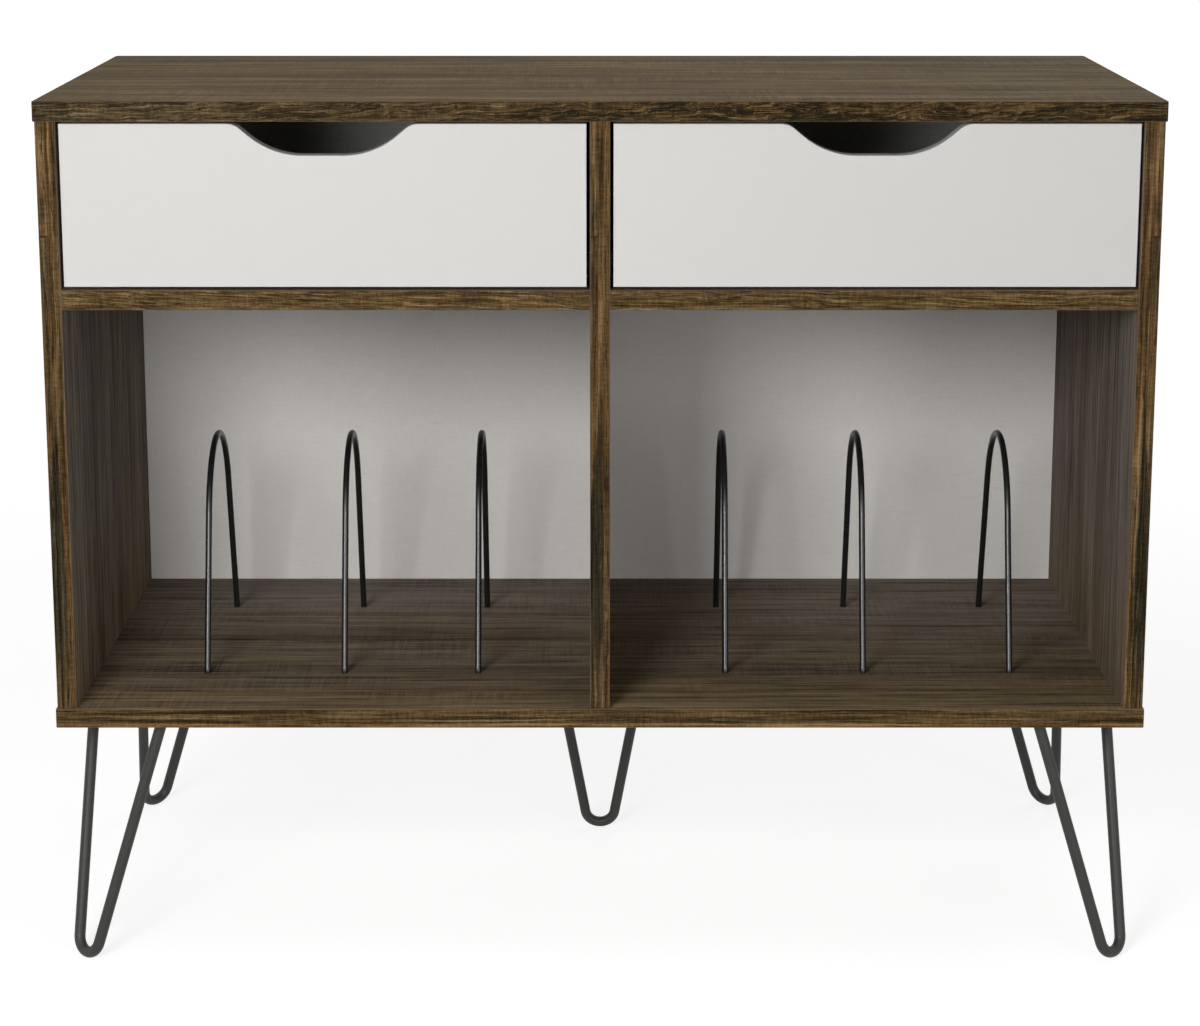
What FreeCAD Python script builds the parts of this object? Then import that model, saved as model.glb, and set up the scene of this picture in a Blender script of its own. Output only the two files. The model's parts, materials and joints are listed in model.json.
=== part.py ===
import FreeCAD, Part

import os
import re

import Sketcher

# A low cabinet for a record player: two drawers over two record bays, on five hairpin legs.
# Lengths are millimetres and angles degrees. The origin is the bottom centre, on the floor,
# with +X to the right, the front towards -Y and +Z up.

SIZES = {
    # Cabinet
    "cabinet_width": 1000,
    "cabinet_depth": 492,
    "board": 18,
    "side_reveal": 1.5,
    "front_reveal": 1.5,
    "record_height": 370,
    "drawer_opening": 150,
    "back_board": 3,
    "edge_ease": 0.5,
    # Hairpin legs
    "leg_height": 230,
    "rod_diameter": 10.5,
    "leg_near_inset": 20.6,
    "leg_far_inset": 93.5,
    "leg_foot_inset": 17.5,
    "leg_bend_radius": 15.5,
    "center_leg_setback": 345,
    "mount_plate": 3,
    "mount_margin": 9,
    "mount_end": 26,
    "mount_corner": 4,
    "weld_bead": 2.5,
    # Record dividers
    "wire_diameter": 6,
    "divider_spread": 250,
    "divider_height": 210,
    "divider_bend_radius": 84,
    "divider_knee": 2,
    "divider_knee_radius": 12,
    "divider_tenon": 12,
    # Drawer fronts and their finger scoops
    "front_side_gap": 3,
    "front_top_gap": 2,
    "front_bottom_gap": 3,
    "scoop_depth": 28,
    "scoop_floor": 36,
    "scoop_lip_radius": 18,
    "scoop_sweep_radius": 74,
    "scoop_slope": 40,
    # Drawer boxes
    "box_wall": 12,
    "box_height": 100,
    "box_bottom": 3,
    "box_bottom_lift": 10,
    "groove_depth": 6,
    "groove_clearance": 0.2,
    # Roller runners
    "runner_gap": 12.5,
    "runner_length": 400,
    "runner_lift": 9,
    "runner_steel": 1.2,
    "runner_track": 9.8,
    "runner_hook": 5,
    "runner_front_gap": 3,
    "rail_edge": 3,
    "box_flange": 10,
    "box_flange_lift": 3,
    "drawer_travel": 290,
    "stop_height": 2.5,
    "stop_thickness": 1.5,
    "roller_radius": 9,
    "roller_width": 6,
    "roller_end": 12,
    "roller_play": 0.3,
    "pin_radius": 2.5,
    "pin_shoulder_radius": 4,
    "pin_head_radius": 3.6,
    "pin_head": 1.2,
    "pin_recess_radius": 4,
    "pin_recess": 1.5,
    # Fixings
    "cam_radius": 7.5,
    "cam_depth": 12.5,
    "cam_setback": 34,
    "cam_slot": 7.2,
    "bolt_thread_radius": 3,
    "bolt_thread": 10,
    "bolt_neck_radius": 2,
    "bolt_head_radius": 3.2,
    "bolt_head": 3.5,
    "dowel_radius": 4,
    "dowel_length": 30,
    "dowel_in_face": 8,
    "box_dowel_radius": 3,
    "box_dowel_length": 24,
    "bottom_screw_radius": 3.2,
    "bottom_screw_length": 50,
    "bottom_screw_head_radius": 5,
    "bottom_screw_head": 3,
    "leg_screw_radius": 2.2,
    "leg_screw_length": 16,
    "leg_screw_head_radius": 4.2,
    "leg_screw_head": 2.2,
    "runner_screw_radius": 1.8,
    "runner_screw_length": 9.2,
    "runner_screw_head_radius": 3.4,
    "runner_screw_head": 1.4,
    # Clearances
    "fixing_clearance": 0.1,
    "running_clearance": 0.05,
    "overrun": 10,
}

LAYOUT = {
    # Cabinet planes, measured from the origin
    "front_y": "-(cabinet_depth + back_board)/2",
    "carcass_y": "front_y + front_reveal",
    "back_y": "front_y + cabinet_depth",
    "floor_z": "leg_height + board",
    "shelf_z": "floor_z + record_height",
    "drawer_z": "shelf_z + board",
    "top_z": "drawer_z + drawer_opening",
    "carcass_depth": "cabinet_depth - front_reveal",
    "upright_height": "top_z - floor_z",
    "bay_width": "(cabinet_width - 2*side_reveal - 3*board)/2",
    "bay_x": "(bay_width + board)/2",
    "wall_x": "bay_width + board/2",
    "upright_x": "wall_x + board/2",
    # Hairpin legs, in the plane of the bent rod
    "leg_middle": "(leg_near_inset + leg_far_inset)/2",
    "leg_half_spread": "(leg_far_inset - leg_near_inset)/sqrt(2)",
    "leg_reach": "sqrt(2)*(leg_middle - leg_foot_inset)",
    "leg_drop": "leg_height - mount_plate - rod_diameter/2",
    "leg_length": "sqrt(leg_reach^2 + leg_drop^2)",
    "leg_lean": "atan(leg_reach/leg_drop)",
    "leg_bend_drop": "leg_length - leg_bend_radius",
    "leg_slant": "atan(leg_half_spread/leg_bend_drop)"
    " - asin(leg_bend_radius/sqrt(leg_half_spread^2 + leg_bend_drop^2))",
    "leg_tangent_x": "leg_bend_radius*cos(leg_slant)",
    "leg_tangent_y": "-leg_bend_drop - leg_bend_radius*sin(leg_slant)",
    "leg_start_x": "leg_half_spread + overrun*tan(leg_slant)",
    "mount_tip": "leg_half_spread + sqrt(2)*mount_margin",
    "mount_back": "mount_end/sqrt(2)",
    # Record dividers, seen from the side
    "divider_foot": "divider_spread/2",
    "divider_arc_z": "divider_height - wire_diameter/2 - divider_bend_radius",
    "divider_slant": "atan(divider_foot/(divider_arc_z - divider_knee))"
    " - asin(divider_bend_radius/sqrt(divider_foot^2 + (divider_arc_z - divider_knee)^2))",
    "divider_knee_run": "divider_knee_radius*tan(divider_slant/2)",
    "divider_shoulder_y": "divider_bend_radius*cos(divider_slant)",
    "divider_shoulder_z": "divider_arc_z + divider_bend_radius*sin(divider_slant)",
    # Drawer fronts
    "front_width": "bay_width - 2*front_side_gap",
    "front_height": "drawer_opening - front_top_gap - front_bottom_gap",
    "front_z": "drawer_z + front_bottom_gap",
    "scoop_lip_x": "scoop_lip_radius*sin(scoop_slope)",
    "scoop_lip_z": "scoop_lip_radius*(1 - cos(scoop_slope))",
    "scoop_sweep_x": "scoop_floor/2 + scoop_sweep_radius*sin(scoop_slope)",
    "scoop_sweep_z": "scoop_depth - scoop_sweep_radius*(1 - cos(scoop_slope))",
    "scoop_half": "scoop_sweep_x + (scoop_sweep_z - scoop_lip_z)/tan(scoop_slope) + scoop_lip_x",
    # Roller runners, measured from the wall of the bay and the foot of the runner
    "runner_z": "drawer_z + runner_lift",
    "roller_z": "runner_steel + roller_play + roller_radius",
    "rail_z": "roller_z + roller_radius + roller_play",
    "hook_z": "rail_z + runner_steel + roller_play",
    "roller_gap": "(runner_gap - 2*runner_steel - roller_width)/2",
    "roller_rest_y": "runner_length - roller_end - runner_front_gap",
    "stop_reach": "sqrt(roller_radius^2 - (roller_radius + roller_play - stop_height)^2)",
    # Drawer boxes
    "box_y": "carcass_y + board",
    "box_z": "runner_z + box_flange_lift + runner_steel",
    "box_width": "bay_width - 2*runner_gap",
    "box_inside": "box_width - 2*box_wall",
    "groove_top": "box_bottom_lift + box_bottom + groove_clearance",
    "bottom_width": "box_inside + 2*(groove_depth - groove_clearance)",
}

# Places along the depth of an upright, a bay, a runner or a box wall, or across a bay,
# as shares of that length
top_cam_shares = (0.14, 0.86)
top_dowel_shares = (0.5,)
shelf_cam_shares = (0.2, 0.8)
shelf_dowel_shares = (0.5,)
side_screw_shares = (0.27, 0.73)
partition_screw_shares = (0.27, 0.61)
runner_screw_shares = (0.12, 0.8)
front_dowel_shares = (0.3, 0.8)
back_dowel_shares = (0.55,)
left_divider_shares = (0.223, 0.501, 0.772)
right_divider_shares = (0.235, 0.514, 0.811)
leg_screw_shares = ((0, 0.66), (-0.42, -0.06), (0.42, -0.06))

# Directions, and the quarter turns about the upright axis that set the corner legs
LEFT = FreeCAD.Vector(-1, 0, 0)
RIGHT = FreeCAD.Vector(1, 0, 0)
FORWARD = FreeCAD.Vector(0, -1, 0)
UP = FreeCAD.Vector(0, 0, 1)
TO_BACK = 0
TO_BACK_LEFT = 45
TO_BACK_RIGHT = -45
TO_FRONT_LEFT = 135
TO_FRONT_RIGHT = -135
FULL_TURN = 360

# An edge nearer to a plane than this lies in it
TOUCH = 0.01

LEGS = {
    "front_left_leg": ("leg_middle - cabinet_width/2", "front_y + leg_middle", TO_FRONT_LEFT),
    "front_right_leg": ("cabinet_width/2 - leg_middle", "front_y + leg_middle", TO_FRONT_RIGHT),
    "back_left_leg": ("leg_middle - cabinet_width/2", "back_y - leg_middle", TO_BACK_LEFT),
    "back_right_leg": ("cabinet_width/2 - leg_middle", "back_y - leg_middle", TO_BACK_RIGHT),
    "center_leg": ("0", "front_y + center_leg_setback", TO_BACK),
}

document = FreeCAD.newDocument("turntable_stand")
nodes = {}


def linked(text):
    """An expression in plain names, with the sheet or the layout named before each of them."""

    def owner(match):
        word = match.group(0)
        if word in SIZES:
            return "Sizes." + word
        if word in LAYOUT:
            return "Layout." + word
        return word

    return re.sub("[a-z][a-z_]*", owner, text)


sheet = document.addObject("Spreadsheet::Sheet", "Sizes")
for row, (alias, number) in enumerate(SIZES.items(), start=1):
    sheet.set(f"A{row}", alias)
    sheet.set(f"B{row}", str(number))
    sheet.setAlias(f"B{row}", alias)
layout = document.addObject("App::VarSet", "Layout")
for name in LAYOUT:
    layout.addProperty("App::PropertyFloat", name, "Layout")
for name, text in LAYOUT.items():
    layout.setExpression(name, linked(text))
document.recompute()


def value(text):
    return float(layout.evalExpression(linked(text)))


def bind(thing, path, text):
    thing.setExpression(path, linked(text))


def put(thing, place):
    for axis, text in zip("xyz", place):
        bind(thing, f"Placement.Base.{axis}", text)


def keep(thing, name):
    """Counts a thing as one of the stand's own pieces, under its name."""
    thing.Label = name
    nodes[name] = thing
    return thing


def sketch_on(body, name, role, level="0"):
    """A sketch on one of the body's origin planes, or level above it along its normal."""
    plane = [part for part in body.Origin.OriginFeatures if part.Role == role][0]
    sketch = body.newObject("Sketcher::SketchObject", name)
    sketch.AttachmentSupport = [(plane, "")]
    sketch.MapMode = "FlatFace"
    bind(sketch, "AttachmentOffset.Base.z", level)
    return sketch


def rule(sketch, kind, *picks, text):
    """A sketch dimension that follows an expression."""
    number = sketch.addConstraint(Sketcher.Constraint(kind, *picks, value(text)))
    bind(sketch, f"Constraints[{number}]", text)


def pin_down(sketch, edge, spot, place):
    rule(sketch, "DistanceX", -1, 1, edge, spot, text=place[0])
    rule(sketch, "DistanceY", -1, 1, edge, spot, text=place[1])


def bow(start, end, radius, turn):
    """The shorter arc from start to end, counter-clockwise where turn is 1 and else clockwise."""
    chord = end - start
    rise = radius - (radius**2 - (chord.Length / 2) ** 2) ** 0.5
    outward = FreeCAD.Vector(chord.y, -chord.x, 0).normalize() * turn
    return Part.Arc(start, (start + end) * 0.5 + outward * rise, end)


def trace(sketch, corners, closed=True):
    """Draws edges through the corners. A corner is (x, y) before a straight edge, and
    (x, y, radius, turn) before an arc."""
    spots = [FreeCAD.Vector(value(corner[0]), value(corner[1]), 0) for corner in corners]
    ends = []
    for index in range(len(corners) if closed else len(corners) - 1):
        start = spots[index]
        end = spots[(index + 1) % len(spots)]
        if len(corners[index]) == 2:
            sketch.addGeometry(Part.LineSegment(start, end), False)
            ends.append((1, 2))
            continue
        radius, turn = corners[index][2:]
        sketch.addGeometry(bow(start, end, value(radius), turn), False)
        ends.append((1, 2) if turn > 0 else (2, 1))
    for index, (first, last) in enumerate(ends):
        if closed or index + 1 < len(ends):
            after = (index + 1) % len(ends)
            sketch.addConstraint(Sketcher.Constraint("Coincident", index, last, after, ends[after][0]))
        pin_down(sketch, index, first, corners[index])
        if len(corners[index]) > 2:
            rule(sketch, "Radius", index, text=corners[index][2])
    if not closed:
        pin_down(sketch, len(ends) - 1, ends[-1][1], corners[-1])


def rectangle(left, low, right, high):
    return [(left, low), (right, low), (right, high), (left, high)]


def add(body, kind, name, sketch, length, flip=False):
    """A padded or pocketed sketch. A pocket must take material away."""
    before = body.Shape.Volume if kind == "Pocket" else 0
    feature = body.newObject(f"PartDesign::{kind}", name)
    feature.Profile = sketch
    feature.Reversed = flip
    bind(feature, "Length", length)
    document.recompute()
    if kind == "Pocket" and body.Shape.Volume >= before:
        raise ValueError(f"{name} of {body.Label} cuts nothing")
    return feature


def panel(name, role, corners, thickness, place, flip=False):
    """A board cut to an outline and set in its place."""
    body = document.addObject("PartDesign::Body", name)
    sketch = sketch_on(body, "outline", role)
    trace(sketch, corners)
    add(body, "Pad", "thickness", sketch, thickness, flip)
    put(body, place)
    return keep(body, name)


def finish_edges(body, kind, name, size, chosen):
    """Rounds or chamfers the edges of the body's last feature that the chosen test picks."""
    base = body.Tip
    edges = [f"Edge{i}" for i, edge in enumerate(base.Shape.Edges, start=1) if chosen(edge)]
    if not edges:
        raise ValueError(f"{name} of {body.Label} finds no edge")
    feature = body.newObject(f"PartDesign::{kind}", name)
    feature.Base = (base, edges)
    bind(feature, "Radius" if kind == "Fillet" else "Size", size)
    document.recompute()


def every_edge(edge):
    return True


def front_edges(edge):
    """The edges that lie in the front face of a board whose own front is at y = 0."""
    return abs(edge.BoundBox.YMax) < TOUCH


def plate_corners(edge):
    """The upright edges of a leg's plate, whose top is at z = 0."""
    box = edge.BoundBox
    return isinstance(edge.Curve, Part.Line) and box.DiagonalLength - box.ZLength < TOUCH


def weld_seams(edge):
    """The ovals where the rods of a leg meet the underside of its plate."""
    oval = isinstance(edge.Curve, (Part.Ellipse, Part.BSplineCurve))
    return oval and abs(edge.CenterOfMass.z + value("mount_plate")) < TOUCH


def drill(body, name, role, level, spots, radius, depth, flip=False):
    """Round holes in the face that lies level along the plane's normal."""
    sketch = sketch_on(body, f"{name}_places", role, level)
    for index, spot in enumerate(spots):
        centre = FreeCAD.Vector(value(spot[0]), value(spot[1]), 0)
        sketch.addGeometry(Part.Circle(centre, UP, value(radius)), False)
        rule(sketch, "Radius", index, text=radius)
        pin_down(sketch, index, 3, spot)
    add(body, "Pocket", name, sketch, depth, flip)


def along(length, shares, start="0"):
    return [f"{start} + {share}*{length}" for share in shares]


def turned(name, half_section):
    """A round piece turned about its own Z axis, from half of its section as (radius, z)."""
    body = document.addObject("PartDesign::Body", name)
    sketch = sketch_on(body, "half_section", "XZ_Plane")
    trace(sketch, half_section)
    feature = body.newObject("PartDesign::Revolution", "turning")
    feature.Profile = sketch
    feature.ReferenceAxis = (sketch, ["V_Axis"])
    feature.Angle = FULL_TURN
    document.recompute()
    return body


def copies(name, pattern, places):
    """One node of like pieces. A place is (x, y, z, rotation)."""
    links = []
    for number, (*place, rotation) in enumerate(places, start=1):
        link = document.addObject("App::Link", f"{name}_{number}")
        link.LinkedObject = pattern
        link.Placement = FreeCAD.Placement(FreeCAD.Vector(), rotation)
        put(link, place)
        links.append(link)
    group = document.addObject("Part::Compound", name)
    group.Links = links
    return keep(group, name)


def pointing(direction):
    return FreeCAD.Rotation(UP, direction)


def seated(normal, reach):
    """Turns a piece's Z axis to normal and its X axis to reach."""
    return FreeCAD.Rotation(reach, FreeCAD.Vector(), normal, "ZXY")


# Fixings, one of each kind. The Z axis points the way a screw is driven, and z = 0 is the
# surface under its head or, for a dowel or bolt, the joint between the two boards.
def screw(name, size, sunk=False):
    """A screw, its head on the surface or sunk flush with it."""
    head_start, head_end = ("0", f"{size}_head") if sunk else (f"-{size}_head", "0")
    return turned(name, [
        ("0", head_start),
        (f"{size}_head_radius", head_start),
        (f"{size}_head_radius", head_end),
        (f"{size}_radius", head_end),
        (f"{size}_radius", f"{size}_length"),
        ("0", f"{size}_length"),
    ])


def dowel(name, radius, length):
    return turned(name, rectangle("0", f"dowel_in_face - {length}", radius, "dowel_in_face"))


def cam_bolt(name):
    neck_end = "bolt_head - cam_setback"
    return turned(name, [
        ("0", "-cam_setback"),
        ("bolt_head_radius", "-cam_setback"),
        ("bolt_head_radius", neck_end),
        ("bolt_neck_radius", neck_end),
        ("bolt_neck_radius", "0"),
        ("bolt_thread_radius", "0"),
        ("bolt_thread_radius", "bolt_thread"),
        ("0", "bolt_thread"),
    ])


def double_cam_bolt(name):
    """A bolt with a head at each end and its thread through the partition, z = 0 in the middle."""
    tip = "cam_setback + board/2"
    neck_end = f"{tip} - bolt_head"
    return turned(name, [
        ("0", f"-({tip})"),
        ("bolt_head_radius", f"-({tip})"),
        ("bolt_head_radius", f"-({neck_end})"),
        ("bolt_neck_radius", f"-({neck_end})"),
        ("bolt_neck_radius", "-board/2"),
        ("bolt_thread_radius", "-board/2"),
        ("bolt_thread_radius", "board/2"),
        ("bolt_neck_radius", "board/2"),
        ("bolt_neck_radius", neck_end),
        ("bolt_head_radius", neck_end),
        ("bolt_head_radius", tip),
        ("0", tip),
    ])


def cam_lock(name):
    """A drum let into a board, open below towards +X where the bolt's head comes in."""
    body = turned(name, rectangle("0", "-cam_depth", "cam_radius", "0"))
    sketch = sketch_on(body, "slot", "XY_Plane", "-cam_depth")
    trace(sketch, rectangle("-cam_slot/2", "-cam_slot/2", "cam_radius + overrun", "cam_slot/2"))
    add(body, "Pocket", "bolt_slot", sketch, "cam_depth - board/2 + cam_slot/2", flip=True)
    return body


def roller_pin(name):
    """A rivet through a runner's web, with a shoulder, an axle and a head in the roller's recess."""
    shoulder = "roller_gap - running_clearance"
    axle = "roller_gap + roller_width - pin_recess + running_clearance"
    return turned(name, [
        ("0", "-runner_steel"),
        ("pin_radius", "-runner_steel"),
        ("pin_radius", "0"),
        ("pin_shoulder_radius", "0"),
        ("pin_shoulder_radius", shoulder),
        ("pin_radius", shoulder),
        ("pin_radius", axle),
        ("pin_head_radius", axle),
        ("pin_head_radius", f"{axle} + pin_head"),
        ("0", f"{axle} + pin_head"),
    ])


def roller(name, place, direction):
    """A roller whose Z axis points away from the web that carries it."""
    body = turned(name, [
        ("pin_radius + running_clearance", "0"),
        ("roller_radius", "0"),
        ("roller_radius", "roller_width"),
        ("pin_recess_radius", "roller_width"),
        ("pin_recess_radius", "roller_width - pin_recess"),
        ("pin_radius + running_clearance", "roller_width - pin_recess"),
    ])
    body.Placement = FreeCAD.Placement(FreeCAD.Vector(), pointing(direction))
    put(body, place)
    return keep(body, name)


# Places that several pieces share
def across(text):
    """A place across the bay, on the left and on the right of its middle."""
    return (f"-({text})", text)


UPRIGHT_MIDDLES = ("-upright_x", "0", "upright_x")
SCREW_SHARES = (side_screw_shares, partition_screw_shares, side_screw_shares)
top_cam_runs = along("carcass_depth", top_cam_shares)
top_dowel_runs = along("carcass_depth", top_dowel_shares)
shelf_cam_runs = along("carcass_depth", shelf_cam_shares)
shelf_dowel_runs = along("carcass_depth", shelf_dowel_shares)
runner_screw_runs = along("runner_length", runner_screw_shares)
bottom_screw_places = [
    (middle, run)
    for middle, shares in zip(UPRIGHT_MIDDLES, SCREW_SHARES)
    for run in along("carcass_depth", shares, "front_reveal")
]
divider_middles = [
    *along("bay_width", left_divider_shares, "-wall_x"),
    *along("bay_width", right_divider_shares, "board/2"),
]


def leg_screw_places(name):
    """The screws of a leg's plate, as places across and along the cabinet."""
    middle_x, middle_y, turn = LEGS[name]
    for share_x, share_y in leg_screw_shares:
        yield (
            f"{middle_x} + mount_tip*({share_x}*cos({turn}) - {share_y}*sin({turn}))",
            f"{middle_y} + mount_tip*({share_x}*sin({turn}) + {share_y}*cos({turn}))",
        )


# Carcass
def horizontal_panel(name, level):
    """The top or bottom, drawn from the middle of its front edge."""
    outline = rectangle("-cabinet_width/2", "0", "cabinet_width/2", "cabinet_depth")
    body = panel(name, "XY_Plane", outline, "board", ("0", "front_y", level))
    finish_edges(body, "Chamfer", "eased_edges", "edge_ease", every_edge)
    return body


def top_panel():
    body = horizontal_panel("top_panel", "top_z")
    for name, runs, radius, depth in (
        ("bolt_holes", top_cam_runs, "bolt_thread_radius", "bolt_thread"),
        ("dowel_holes", top_dowel_runs, "dowel_radius", "dowel_in_face"),
    ):
        spots = [(middle, f"front_reveal + {run}") for middle in UPRIGHT_MIDDLES for run in runs]
        reach = f"{depth} + fixing_clearance"
        drill(body, name, "XY_Plane", "0", spots, f"{radius} + fixing_clearance", reach, flip=True)


def bottom_panel():
    body = horizontal_panel("bottom_panel", "leg_height")
    feet = [
        (middle, f"cabinet_depth/2 + back_board/2 + {side}*divider_foot")
        for middle in divider_middles
        for side in (-1, 1)
    ]
    drill(
        body, "divider_holes", "XY_Plane", "board", feet,
        "wire_diameter/2 + fixing_clearance", "divider_tenon + fixing_clearance",
    )
    drill(
        body, "screw_holes", "XY_Plane", "0", bottom_screw_places,
        "bottom_screw_radius + fixing_clearance", "board", flip=True,
    )
    drill(
        body, "screw_head_recesses", "XY_Plane", "0", bottom_screw_places,
        "bottom_screw_head_radius + fixing_clearance", "bottom_screw_head", flip=True,
    )
    legs = [(x, f"{y} - front_y") for name in LEGS for x, y in leg_screw_places(name)]
    drill(
        body, "leg_screw_holes", "XY_Plane", "0", legs, "leg_screw_radius + fixing_clearance",
        "leg_screw_length - mount_plate + fixing_clearance", flip=True,
    )


def upright(name, left, faces, cam_face, screw_shares):
    """A side or the partition. Each face is (level, flip), and cam_face takes the cam locks."""
    outline = rectangle("0", "0", "carcass_depth", "upright_height")
    body = panel(name, "YZ_Plane", outline, "board", (left, "carcass_y", "floor_z"))
    finish_edges(body, "Chamfer", "eased_edges", "edge_ease", front_edges)
    screws = [("board/2", run) for run in along("carcass_depth", screw_shares)]
    drill(
        body, "bottom_screw_holes", "XY_Plane", "0", screws, "bottom_screw_radius + fixing_clearance",
        "bottom_screw_length - board + fixing_clearance", flip=True,
    )
    drill(
        body, "top_bolt_channels", "XY_Plane", "upright_height",
        [("board/2", run) for run in top_cam_runs], "bolt_head_radius + fixing_clearance", "cam_setback",
    )
    drill(
        body, "top_dowel_holes", "XY_Plane", "upright_height",
        [("board/2", run) for run in top_dowel_runs], "dowel_radius + fixing_clearance",
        "dowel_length - dowel_in_face + fixing_clearance",
    )
    cams = [(run, "upright_height - cam_setback") for run in top_cam_runs]
    level, flip = cam_face
    drill(
        body, "cam_housings", "YZ_Plane", level, cams, "cam_radius + fixing_clearance",
        "cam_depth + fixing_clearance", flip,
    )
    bolts = [(run, "record_height + board/2") for run in shelf_cam_runs]
    through = len(faces) > 1
    bolt_depth = "board" if through else "bolt_thread + fixing_clearance"
    level, flip = faces[0]
    drill(
        body, "shelf_bolt_holes", "YZ_Plane", level, bolts, "bolt_thread_radius + fixing_clearance",
        bolt_depth, flip,
    )
    for number, (level, flip) in enumerate(faces, start=1):
        drill(
            body, f"shelf_dowel_holes_{number}", "YZ_Plane", level,
            [(run, "record_height + board/2") for run in shelf_dowel_runs],
            "dowel_radius + fixing_clearance", "dowel_in_face + fixing_clearance", flip,
        )
        drill(
            body, f"runner_screw_holes_{number}", "YZ_Plane", level,
            [
                (f"board + runner_front_gap + {run}", "runner_z + roller_z - floor_z")
                for run in runner_screw_runs
            ],
            "runner_screw_radius + fixing_clearance",
            "runner_screw_length - runner_steel + fixing_clearance", flip,
        )


RIGHT_FACE = ("board", False)
LEFT_FACE = ("0", True)


def drawer_shelf(name, left):
    outline = rectangle("0", "0", "bay_width", "carcass_depth")
    body = panel(name, "XY_Plane", outline, "board", (left, "carcass_y", "shelf_z"))
    finish_edges(body, "Chamfer", "eased_edges", "edge_ease", front_edges)
    cams = [(end, run) for end in ("cam_setback", "bay_width - cam_setback") for run in shelf_cam_runs]
    drill(
        body, "cam_housings", "XY_Plane", "board", cams, "cam_radius + fixing_clearance",
        "cam_depth + fixing_clearance",
    )
    for end, level, flip in (("left", "0", True), ("right", "bay_width", False)):
        drill(
            body, f"{end}_bolt_channels", "YZ_Plane", level,
            [(run, "board/2") for run in shelf_cam_runs],
            "bolt_head_radius + fixing_clearance", "cam_setback", flip,
        )
        drill(
            body, f"{end}_dowel_holes", "YZ_Plane", level,
            [(run, "board/2") for run in shelf_dowel_runs],
            "dowel_radius + fixing_clearance", "dowel_length - dowel_in_face + fixing_clearance", flip,
        )


def back_panel():
    """A thin board over the rear edges, inside the outline of the top and bottom."""
    outline = rectangle("-(upright_x + board/2)", "0", "upright_x + board/2", "upright_height + 2*board")
    place = ("0", "back_y", "leg_height")
    panel("back_panel", "XZ_Plane", outline, "back_board", place, flip=True)


def carcass():
    top_panel()
    bottom_panel()
    upright("left_side_panel", "-upright_x - board/2", [RIGHT_FACE], RIGHT_FACE, side_screw_shares)
    upright("right_side_panel", "wall_x", [LEFT_FACE], LEFT_FACE, side_screw_shares)
    upright(
        "center_partition", "-board/2", [RIGHT_FACE, LEFT_FACE], RIGHT_FACE, partition_screw_shares
    )
    drawer_shelf("left_drawer_shelf", "-wall_x")
    drawer_shelf("right_drawer_shelf", "board/2")
    back_panel()


def carcass_fixings():
    screws = [(x, f"front_y + {y}", "leg_height", pointing(UP)) for x, y in bottom_screw_places]
    copies("bottom_screws", screw("bottom_screw", "bottom_screw", sunk=True), screws)

    peg = dowel("dowel", "dowel_radius", "dowel_length")
    shelf_middle = "shelf_z + board/2"
    dowels = [
        (middle, f"carcass_y + {run}", "top_z", pointing(UP))
        for middle in UPRIGHT_MIDDLES
        for run in top_dowel_runs
    ]
    for wall, into_face in (("-wall_x", LEFT), ("-board/2", RIGHT), ("board/2", LEFT), ("wall_x", RIGHT)):
        for run in shelf_dowel_runs:
            dowels.append((wall, f"carcass_y + {run}", shelf_middle, pointing(into_face)))
    copies("dowels", peg, dowels)

    bolt = cam_bolt("cam_bolt")
    bolts = [
        (middle, f"carcass_y + {run}", "top_z", pointing(UP))
        for middle in UPRIGHT_MIDDLES
        for run in top_cam_runs
    ]
    for wall, into_face in (("-wall_x", LEFT), ("wall_x", RIGHT)):
        for run in shelf_cam_runs:
            bolts.append((wall, f"carcass_y + {run}", shelf_middle, pointing(into_face)))
    copies("cam_bolts", bolt, bolts)
    doubles = [("0", f"carcass_y + {run}", shelf_middle, pointing(RIGHT)) for run in shelf_cam_runs]
    copies("double_cam_bolts", double_cam_bolt("double_cam_bolt"), doubles)

    drum = cam_lock("cam_lock")
    cams = [
        (face, f"carcass_y + {run}", "top_z - cam_setback", seated(normal, UP))
        for face, normal in (("-wall_x", RIGHT), ("board/2", RIGHT), ("wall_x", LEFT))
        for run in top_cam_runs
    ]
    for end, reach in (
        ("-wall_x + cam_setback", LEFT),
        ("-board/2 - cam_setback", RIGHT),
        ("board/2 + cam_setback", LEFT),
        ("wall_x - cam_setback", RIGHT),
    ):
        for run in shelf_cam_runs:
            cams.append((end, f"carcass_y + {run}", "drawer_z", seated(UP, reach)))
    copies("cam_locks", drum, cams)


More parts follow.
